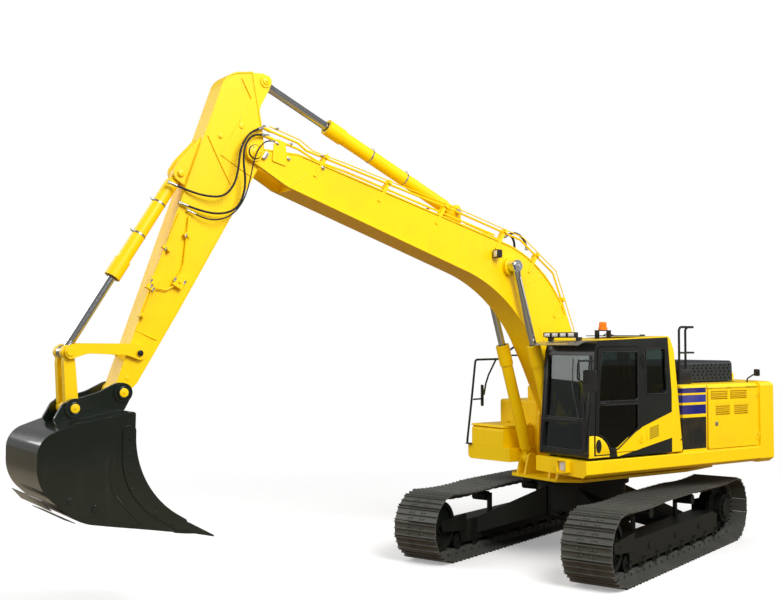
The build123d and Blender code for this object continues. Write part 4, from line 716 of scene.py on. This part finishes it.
wiper = bmesh.new()
disc(wiper, machine, (1268, 1250, 2040), 22, 26, "X", 4, sides=20)
bar(wiper, machine, [(1278, 1250, 2040), (1262, 1160, 2300), (1238, 1080, 2520)], 6, 8)
bar(wiper, machine, [(1240, 1100, 2330), (1216, 1075, 2600), (1178, 1050, 2860)], 7, 6)
for y in (520, 1352):
    bar(wiper, machine, [(1258, y, 1600), (1262, y, 2020), (1225, y, 2480), (1160, y, 2900)], 9, 8, 10)
bar(wiper, machine, [(1262, 520, 2022), (1274, 936, 2022), (1262, 1352, 2022)], 12, 8)
piece("windscreen_trim", wiper, cab_black, "upper")

# Cab roof: a smoke-tinted plastic visor under the lamp bar and a black steel
# hatch with its handle and hinges.
visor_glass, s, shader = finish("visor_smoke", (0.24, 0.215, 0.18), 0.12, coat=0.6, clear=0.45)
place = s.coordinates()
wire(shader, "Roughness", 0.10 + place.noise(9.0, 3.0, 0.6) * 0.15)
visor_top = [(1135, 3098), (1215, 3092), (1300, 3072), (1372, 3040)]
visor_thickness = 6
visor_under = [(x, z - visor_thickness) for x, z in reversed(visor_top)]
visor = bmesh.new()
slab(visor, machine, visor_top + visor_under, 455, 1350, 1)
piece("windscreen_visor", visor, visor_glass, "upper")

hatch_top = 3172
roof = bmesh.new()
block(roof, machine, (0, 600, hatch_top - 12), (490, 1270, hatch_top), 5)
hatch_handle = [(60, hatch_top), (90, hatch_top + 24), (200, hatch_top + 24), (230, hatch_top)]
bar(roof, machine, [(x, 700, z) for x, z in hatch_handle], 9, 8)
for y in (640, 1230):
    block(roof, machine, (-6, y - 30, hatch_top - 6), (40, y + 30, hatch_top + 12), 4)
piece("roof_hatch", roof, cab_black, "upper")

# Seat: crowned foam cushions under ribbed cloth with sewn channels, on a black
# steel shell bolted to the floor.
cloth, s, shader = finish("seat_cloth", (0.045, 0.047, 0.050), 0.9)
place, x, y, z = machine_place(s)
weave = place.noise(420.0, 2.0, 0.6)
channels = (y * 26.0).math("PINGPONG", y * 26.0, 1.0).step(0.0, 0.12)
thread_dark, thread_pale = (0.022, 0.023, 0.026, 1), (0.085, 0.085, 0.09, 1)
wire(shader, "Base Color", (weave.step(0.3, 0.7) * 0.6).blend(thread_dark, thread_pale))
height = weave * 0.3 + channels
raised = s.node("ShaderNodeBump", values={"Strength": 0.6, "Distance": 0.003, "Height": height})
wire(shader, "Normal", raised)


def cushion(name, low, high, lean, crown):
    """Padded block: swollen faces that pull in at its seams, leaned about Y."""
    shape = bmesh.new()
    low, high = Vector(low), Vector(high)
    size, centre = high - low, (low + high) / 2
    bmesh.ops.create_cube(shape, size=2.0)
    bmesh.ops.subdivide_edges(shape, edges=shape.edges, cuts=9, use_grid_fill=True)
    for vert in shape.verts:
        a, b, c = vert.co
        fat = [(1 - t * t) ** 0.5 if abs(t) < 1 else 0 for t in (a, b)]
        drawn_in = Vector((a * (1 - 0.10 * b * b * c * c), b * (1 - 0.10 * a * a * c * c),
                           c * (1 - 0.16 * a * a - 0.16 * b * b)))
        push = Vector((0, 0, crown * (c if abs(c) == 1 else 0) * fat[0] * fat[1]))
        vert.co = Vector(drawn_in[i] * size[i] / 2 for i in range(3)) + push
    at = machine @ Matrix.Translation(centre) @ Matrix.Rotation(math.radians(lean), 4, "Y")
    bmesh.ops.transform(shape, matrix=at, verts=shape.verts)
    bmesh.ops.smooth_vert(shape, verts=shape.verts, factor=0.5, use_axis_x=True, use_axis_y=True,
                          use_axis_z=True)
    made = piece(name, shape, cloth, "upper", 60.0)
    return made


seat_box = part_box("seat")
seat_z = seat_box[0][2] * 1000
parts = [cushion("seat_pad", (-180, 697, seat_z + 295), (320, 1177, seat_z + 415), -3, 10),
         cushion("seat_back", (-225, 707, seat_z + 400), (-105, 1167, seat_z + 985), -7, 8),
         cushion("seat_headrest", (-262, 820, seat_z + 1025), (-182, 1054, seat_z + 1205), -5, 6)]
for part in parts:
    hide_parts("seat")
shell = bmesh.new()
block(shell, machine, (-170, 760, seat_z + 2), (250, 1114, seat_z + 270), 12)
block(shell, machine, (-235, 880, seat_z + 985), (-205, 994, seat_z + 1030), 4)
piece("seat_shell", shell, cab_black, "upper")


# Lamps: pressed black housings with ribbed glass lenses on the cab, the deck
# and the boom, and a moulded amber beacon over its black foot.
def lamp_zones(x, y, z):
    """The deck lamp, below the cab's lamps, is in the machine's yellow."""
    return [(1.0 - z.step(2.0, 2.01), yellow)]


lamp_black = weathered("lamp_black", *satin_black, edge=0.002, chips=0.1, zones=lamp_zones)
dress(lamp_black, "work_lamps")


def beacon_zones(x, y, z):
    """The beacon's foot, below its lens, is black."""
    return [(1.0 - z.step(3.243, 3.246), black)]


beacon_finish = weathered("beacon_amber", (0.92, 0.20, 0.004), (0.55, 0.16, 0.01), (0.95, 0.35, 0.05), 0.14,
                          edge=0.002, chips=0.0, coat=0.8, zones=beacon_zones)
dress(beacon_finish, "beacon")

lens, s, shader = finish("lamp_lens", (0.86, 0.88, 0.88), 0.10, coat=1.0)
place = s.coordinates()
# Pale and grey bands along the ribs: painted highlight and shade of the ribbed glass.
ribs = s.node("ShaderNodeTexWave", {"bands_direction": "Y"}, {"Vector": place, "Scale": 26.0}, output=1)
wire(shader, "Base Color", ribs.blend((0.62, 0.64, 0.64, 1), (0.93, 0.94, 0.94, 1)))
wire(shader, "Normal", s.node("ShaderNodeBump", values={"Strength": 0.5, "Distance": 0.004, "Height": ribs}))
lamp_count = 4
lamp_pitch = 158
lenses = bmesh.new()
for i in range(lamp_count):
    y = 545 + lamp_pitch * i
    block(lenses, machine, (1181, y - 59, 3150), (1187, y + 59, 3206), 3)
    for half in (-28, 28):
        disc(lenses, machine, (1188, y + half, 3178), 24, 4, "X", 1, sides=24)
block(lenses, machine, (1355, 962, 1358), (1362, 1098, 1468), 3)
disc(lenses, machine, (1363, 1030, 1412), 42, 6, "X", 2, sides=28)
piece("lamp_lenses", lenses, lens, "upper")
boom_lens = bmesh.new()
block(boom_lens, machine, (1891, 239, 4253), (1897, 333, 4347), 3)
disc(boom_lens, machine, (1898, 286, 4300), 38, 4, "X", 1, sides=28)
piece("boom_lamp_lens", boom_lens, lens, "boom")

# Mirrors: silvered glass let into black plastic shells on their tube arms.
# Each face stands a little proud of its shell.
mirror_glass, s, shader = finish("mirror_face", (0.70, 0.74, 0.76), 0.05, metal=1.0)
place = s.coordinates()
wire(shader, "Roughness", 0.03 + place.noise(12.0, 3.0, 0.6) * 0.07)
faces = bmesh.new()
mirror_width = 150
mirror_places = [
    # place, turn about Z, height
    ((655, -1500, 2235), -34.5, 290),
    ((1340, 1535, 2570), 12, 250),
]
for place, turn, height in mirror_places:
    at = machine @ Matrix.Translation(place) @ Matrix.Rotation(math.radians(turn), 4, "Z")
    block(faces, at, (-3.5, -mirror_width / 2, -height / 2), (-0.5, mirror_width / 2, height / 2), 1)
piece("mirror_faces", faces, mirror_glass, "upper")


# Boom: plated pipe clamps, each a strip with a bolt, weld beads along the web
# seams, the domed caps of its pins and a plated grease block at the nose.
def pin(joint):
    """A packed joint's place in the machine, as x and z in millimetres."""
    place = Vector(next(j for j in frame["joints"] if j["name"] == joint)["pos_m"]) - swing_axis
    return place.x * 1000, place.z * 1000


def heading(start, end):
    """Degrees over level from one pin to another."""
    return math.degrees(math.atan2(end[1] - start[1], end[0] - start[0]))


def frame_at(place, rise=0.0):
    """Frame at a pin, its X along a part that points at so many degrees over level."""
    turn = Matrix.Rotation(math.radians(-rise), 4, "Y")
    return machine @ Matrix.Translation((place[0], 0, place[1])) @ turn


def bolt(shape, frame, centre, axis="Y", across=24.0, stand=14.0):
    """Hexagon head on its washer."""
    disc(shape, frame, centre, across * 0.72, 4.0, axis, sides=16)
    disc(shape, frame, centre, across * 0.55, 2 * stand, axis, sides=6)


boom_foot, nose, bucket_pin = pin("boom_lift"), pin("arm_swing"), pin("bucket_curl")
boom_length = math.dist(boom_foot, nose)
boom_frame = frame_at(boom_foot, heading(boom_foot, nose))
pipe_clamp_places = [
    # along, across, side of the boom
    (1050, 1290, 200), (1800, 1566, 200), (2470, 1490, 200), (3500, 1176, 203), (4400, 872, 205),
    (5330, 560, 208),
]
clamp_pairs = [((6072, 434), (5970, 277)), ((5822, 397), (5744, 219)), ((5391, 548), (5299, 426))]
clamps = bmesh.new()
for side in (-1, 1):
    for a, w, y in pipe_clamp_places:
        block(clamps, boom_frame, (a - 15, side * y - 30, w + 12), (a + 15, side * y + 30, w + 24), 2)
        bolt(clamps, boom_frame, (a, side * y, w + 22), "Z", 20, 12)
for pair in clamp_pairs:
    for a, w in pair:
        block(clamps, boom_frame, (a - 26, 224, w - 12), (a + 26, 236, w + 12), 2)
        bolt(clamps, boom_frame, (a, 236, w), "Y", 18, 8)
block(clamps, boom_frame, (5989, 219, 2), (6041, 246, 102), 4)
for w in (20, 44, 68, 92):
    disc(clamps, boom_frame, (6015, 250, w - 6), 5, 14, "Y", sides=10)
piece("pipe_clamps", clamps, zinc, "boom")

boom_web = 210.5
seams = [
    # along and across of each bead on the web
    [(6086, -74), (5800, -72), (5561, -63)],
    [(5561, -63), (5480, 40), (5440, 220)],
    [(1500, 1460), (1700, 1150), (1960, 820)],
    [(3100, 1190), (3000, 900), (2940, 640)],
    [(700, 560), (980, 520), (1240, 760)],
]
beads = bmesh.new()
for side in (-1, 1):
    for seam in seams:
        bar(beads, boom_frame, [(a, side * boom_web, w) for a, w in seam], 5.0, 8, 8)
piece("weld_beads", beads, machine_yellow, "boom")

cap_bolt_circle = 60
caps = bmesh.new()
for side in (-1, 1):
    disc(caps, boom_frame, (0, side * 286, 0), 64, 26, "Y", 6)
    disc(caps, boom_frame, (boom_length, side * 254, 0), 78, 16, "Y", 5)
    disc(caps, boom_frame, (boom_length, side * 262, 0), 44, 10, "Y", 3)
    for turn in range(3):
        angle = math.radians(30 + 120 * turn)
        along, across = cap_bolt_circle * math.cos(angle), cap_bolt_circle * math.sin(angle)
        bolt(caps, boom_frame, (boom_length + along, side * 263, across), "Y", 16, 5)
piece("nose_pin_caps", caps, machine_yellow, "boom")
gap_rings = bmesh.new()
for side in (-1, 1):
    disc(gap_rings, boom_frame, (boom_length, side * 243, 0), 88, 6, "Y", 1)
piece("nose_seal_rings", gap_rings, rubber, "boom")

# Boom hoses: braided hoses beside the cab at the boom's foot and a pair behind
# the arm cylinder's foot, screwed to plated ends.
foot_hoses = bmesh.new()
foot_ends = bmesh.new()
hose_spacing = 34
foot_x, foot_y = 900, 380
foot_route = [(-60, 0, 2330), (-40, 0, 2180), (10, -4, 1980), (70, -10, 1760), (60, -16, 1600),
              (-60, -22, 1530)]
for i in range(3):
    x = foot_x + hose_spacing * i
    y = foot_y + hose_spacing * i
    bar(foot_hoses, machine, [(x + a, y + b, z) for a, b, z in foot_route], 17, 12, 8)
    bar(foot_ends, machine, [(x - 66, y, 2380), (x - 59, y, 2310)], 22, 16)
    bar(foot_ends, machine, [(x - 67, y, 2400), (x - 65, y, 2376)], 29, 6)
piece("boom_foot_hoses", foot_hoses, rubber, "upper")
piece("boom_foot_fittings", foot_ends, zinc, "upper", 30.0)
back_route = [
    # along, share of the half spacing, across
    (2330, 1.0, 1545), (2260, 1.0, 1660), (2170, 1.3, 1700), (2060, 1.6, 1690),
    (1985, 1.9, 1628), (1960, 2.0, 1592),
]
back_hoses = bmesh.new()
back_ends = bmesh.new()
for y in (-66, 66):
    bar(back_hoses, boom_frame, [(a, y * share, w) for a, share, w in back_route], 17, 12, 8)
    bar(back_ends, boom_frame, [(2344, y, 1522), (2326, y, 1552)], 23, 16)
    bar(back_ends, boom_frame, [(1962, y * 2, 1596), (1952, y * 2, 1570)], 23, 16)
piece("boom_back_hoses", back_hoses, rubber, "boom")
piece("boom_back_fittings", back_ends, zinc, "boom", 30.0)

# Hoses: three rubber hoses with a braided cover run from the boom's pipes past
# the nose pin to the arm, screwed to plated fittings at both ends.
hose_routes = {
    # name: diameter, then the same points as the solids, in millimetres
    "hose_outer": (26, [(5447, 205, 5655), (5610, 235, 5600), (5742, 285, 5452), (5800, 300, 5310),
                        (5816, 300, 5132), (5863, 296, 4920), (5992, 275, 4768), (6212, 240, 4766),
                        (6420, 196, 4822), (6600, 140, 4900)]),
    "hose_inner": (26, [(5401, 205, 5559), (5520, 225, 5572), (5668, 268, 5500), (5750, 300, 5350),
                        (5754, 300, 5173), (5725, 300, 4990), (5748, 300, 4800), (5838, 288, 4628),
                        (6040, 250, 4562), (6290, 212, 4600), (6490, 196, 4668)]),
    "hose_thin": (16, [(5295, 213, 5504), (5417, 250, 5502), (5536, 292, 5406), (5602, 318, 5292),
                       (5650, 328, 5144), (5682, 330, 4990), (5725, 332, 4840), (5792, 330, 4692),
                       (5905, 308, 4556), (6061, 262, 4492), (6235, 222, 4508), (6390, 196, 4588)]),
}
for name, (across, rows) in hose_routes.items():
    line = smooth_route([spot(*row) for row in rows])
    tube = bmesh.new()
    sweep(tube, line, across * 0.0005, 14)
    hose = piece("rubber_" + name, tube, rubber, None)
    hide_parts(name)
    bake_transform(hose)
    for first, second, body in ((line[0], line[3], "boom"), (line[-1], line[-4], "arm")):
        ends = bmesh.new()
        way = (second - first).normalized()
        sweep(ends, [first - way * 0.012, first + way * 0.085], across * 0.00074, 16)
        sweep(ends, [first - way * 0.030, first - way * 0.004], across * 0.00100, 6)
        piece(name + "_ferrule_" + body, ends, zinc, body, 30.0)


# Cylinders: a bolted gland on each tube's end with a black wiper seal round
# the rod and plated pipe clamps. The rods are hard chrome on ground steel,
# wiped clean by the seals.
chrome, s, shader = finish("rod_chrome", (0.62, 0.64, 0.66), 0.12, metal=1.0)
place = s.coordinates()
wire(shader, "Roughness", 0.10 + place.noise(30.0, 3.0, 0.6) * 0.12)
dress(chrome, "boom_cylinder_rods", "arm_cylinder_rod", "bucket_cylinder_rod")


def ring(shape, at, x, y, inner, outer, width, sides=40):
    """Closed band round the X axis of a frame."""
    loops = []
    for turn in range(sides):
        angle = 2 * math.pi * turn / sides
        rows = ((inner, -1), (outer, -1), (outer, 1), (inner, 1))
        places = [(x + end * width / 2, y + r * math.cos(angle), r * math.sin(angle)) for r, end in rows]
        loops.append([shape.verts.new(at @ Vector(place)) for place in places])
    for here, after in zip(loops, loops[1:] + loops[:1]):
        for i in range(4):
            shape.faces.new((here[i], after[i], after[(i + 1) % 4], here[(i + 1) % 4]))


def gland(name, body, foot, rise, length, radius, rod, y=0.0, straps=()):
    """Bolts, seal and straps of one tube, drawn along its own axis."""
    axis = frame_at(foot, rise)
    bolts = bmesh.new()
    reach = (radius + 12) * 0.86
    for turn in range(8):
        angle = math.radians(22.5 + 45 * turn)
        centre = (length + 2, y + reach * math.cos(angle), reach * math.sin(angle))
        disc(bolts, axis, centre, 8, 8, "X", sides=6)
    for place in straps:
        ring(bolts, axis, place, y, radius - 1, radius + 3, 22)
        block(bolts, axis, (place - 14, y - 14, radius), (place + 14, y + 14, radius + 30), 3)
        disc(bolts, axis, (place, y, radius + 34), 8, 12, "Z", sides=6)
    piece(name + "_gland_bolts", bolts, zinc, body, 30.0)
    seal = bmesh.new()
    disc(seal, axis, (length + 5, y, 0), rod + 13, 9, "X", 3, sides=40)
    piece(name + "_wiper_seal", seal, rubber, body)


boom_cylinder_foot, arm_cylinder_foot = pin("boom_tube_pivot"), pin("arm_tube_pivot")
boom_rod_eye = (1579.7, 4135.5)
boom_cylinder_side = 336.0
bucket_cylinder_foot = pin("bucket_tube_pivot")
boom_cylinder_rise = heading(boom_cylinder_foot, boom_rod_eye)
arm_cylinder_rise, bucket_cylinder_rise = 25.13, -57.85
gland("arm_cylinder", "arm_cylinder_tube", arm_cylinder_foot, arm_cylinder_rise, 2230.0, 90, 52,
      straps=(900, 1500))
gland("bucket_cylinder", "bucket_cylinder_tube", bucket_cylinder_foot, bucket_cylinder_rise, 1440.0, 79, 45,
      straps=(420, 860))
for side, word in ((1, "left"), (-1, "right")):
    gland("boom_cylinder_" + word, "boom_cylinder_tubes", boom_cylinder_foot, boom_cylinder_rise,
          1740.0, 84, 50, side * boom_cylinder_side)

# Pins of the linkage: turned steel, with plated or painted end caps bolted over
# the grease seals.
plated = bmesh.new()
for side in (-1, 1):
    disc(plated, machine, (boom_rod_eye[0], side * 395, boom_rod_eye[1]), 52, 18, "Y", 4)
    disc(plated, machine, (boom_rod_eye[0], side * 402, boom_rod_eye[1]), 26, 14, "Y", 3)
    disc(plated, machine, (arm_cylinder_foot[0], side * 130, arm_cylinder_foot[1]), 40, 60, "Y", 4)
piece("boom_pin_caps", plated, zinc, "boom")
arm_frame = frame_at(nose, heading(nose, bucket_pin))
arm_rod_eye, bucket_tube_eye, rocker_pin = (-886, 264), (710, 612), (2763, 41)
arm_caps = bmesh.new()
for side in (-1, 1):
    disc(arm_caps, arm_frame, (arm_rod_eye[0], side * 122, arm_rod_eye[1]), 46, 26, "Y", 5)
    bolt(arm_caps, arm_frame, (arm_rod_eye[0], side * 136, arm_rod_eye[1]), "Y", 26, 6)
    disc(arm_caps, arm_frame, (bucket_tube_eye[0], side * 122, bucket_tube_eye[1]), 36, 14, "Y", 4)
piece("arm_pin_caps", arm_caps, machine_yellow, "arm")
link_caps = bmesh.new()
for side in (-1, 1):
    disc(link_caps, arm_frame, (rocker_pin[0], side * 234, rocker_pin[1]), 34, 12, "Y", 4)
    bolt(link_caps, arm_frame, (rocker_pin[0], side * 240, rocker_pin[1]), "Y", 22, 6)
piece("link_pin_caps", link_caps, cab_black, "arm")

# Arm: weld bosses and beads on the box section, and plated unions on the pipes
# of its left side.
arm_web = 168.5
arm_seams = [
    # along and across of each bead on the web
    [(2560, 206), (2550, 60), (2530, -73)],
    [(153, 577), (330, 320), (488, 52)],
    [(-700, 560), (-560, 340)],
]
arm_small = bmesh.new()
for side in (-1, 1):
    disc(arm_small, arm_frame, (-198, side * 173, 274), 34, 10, "Y", 3)
    disc(arm_small, arm_frame, (66, side * 172, 436), 26, 8, "Y", 2, sides=20)
    disc(arm_small, arm_frame, (3061, side * 169, 11), 28, 6, "Y", 2, sides=20)
    for seam in arm_seams:
        bar(arm_small, arm_frame, [(a, side * arm_web, w) for a, w in seam], 5, 8, 6)
piece("arm_welds", arm_small, machine_yellow, "arm")
union_y = 206
union_places = [(1990, 330), (2040, 300), (1830, 95), (1800, -20), (2060, 262), (1580, 362), (1320, 232)]
arm_fittings = bmesh.new()
for a, w in union_places:
    disc(arm_fittings, arm_frame, (a, union_y, w), 17, 30, "X", sides=6)
    disc(arm_fittings, arm_frame, (a + 24, union_y, w), 13, 24, "X", 2, sides=16)
piece("arm_fittings", arm_fittings, zinc, "arm")

# Bucket: wear strips welded across its back, bolted side cutters, cast adapters
# that carry the teeth and covers on its pins, in black paint worn by soil.
bucket_black = weathered("bucket_black", (0.006, 0.011, 0.008), (0.030, 0.033, 0.026), (0.22, 0.21, 0.19),
                         0.20, edge=0.004, chips=0.7, dust_top=2.2, coat=0.7)
dress(bucket_black, "bucket", "bucket_teeth")
bucket_frame = frame_at(bucket_pin)
wear_strips = [
    # from and to, along the bucket's back
    ((960, -1055), (860, -1170)),
    ((740, -1262), (613, -1317)),
    ((300, -1374), (0, -1427)),
    ((-300, -1481), (-560, -1528)),
]
strip_sunk, strip_proud, strip_half_length = 3, 5, 560
wear = bmesh.new()
for start, end in wear_strips:
    start, end = Vector(start), Vector(end)
    along = (end - start).normalized()
    out = Vector((-along.y, along.x))
    outer = [start + out * strip_proud, end + out * strip_proud]
    inner = [end - out * strip_sunk, start - out * strip_sunk]
    slab(wear, bucket_frame, outer + inner, -strip_half_length, strip_half_length, 2)
piece("bucket_wear_strips", wear, bucket_black, "bucket")
cutter_bolts = [(50, -470), (62, -640), (60, -820), (30, -1010), (-70, -1150), (-240, -1290), (-440, -1410)]
cutter_edge = [(180, -480), (300, -800), (210, -1100), (-80, -1390)]
link_pin = (535, -153)
cutters = bmesh.new()
for side in (-1, 1):
    for x, z in cutter_bolts:
        bolt(cutters, bucket_frame, (x, side * 619, z), "Y", 34, 8)
    disc(cutters, bucket_frame, (420, side * 602, -1180), 40, 16, "Y", 4)
    disc(cutters, bucket_frame, (690, side * 602, -1080), 30, 16, "Y", 4)
    bar(cutters, bucket_frame, [(x, side * 600, z) for x, z in cutter_edge], 7, 8, 12)
    disc(cutters, bucket_frame, (link_pin[0], side * 252, link_pin[1]), 66, 12, "Y", 4)
    disc(cutters, bucket_frame, (0, side * 262, 0), 66, 12, "Y", 4)
piece("bucket_bolts", cutters, bucket_black, "bucket")
pin_faces = bmesh.new()
for side in (-1, 1):
    for x, z in (link_pin, (0, 0)):
        disc(pin_faces, bucket_frame, (x, side * 266, z), 50, 14, "Y", 4)
        bolt(pin_faces, bucket_frame, (x, side * 273, z), "Y", 20, 5)
piece("bucket_pin_faces", pin_faces, machine_yellow, "bucket")
tooth_count = 5
tooth_spread = 1070
adapter_outline = [(-430, -1500), (-560, -1425), (-680, -1452), (-700, -1500), (-640, -1540), (-520, -1528)]
adapters = bmesh.new()
for i in range(tooth_count):
    y = tooth_spread * (i / (tooth_count - 1) - 0.5)
    for side in (-1, 1):
        slab(adapters, bucket_frame, adapter_outline, y + side * 56, y + side * 64, 2)
    disc(adapters, bucket_frame, (-610, y, -1484), 13, 150, "Y", 2, sides=12)
piece("tooth_adapters", adapters, bucket_black, "bucket")
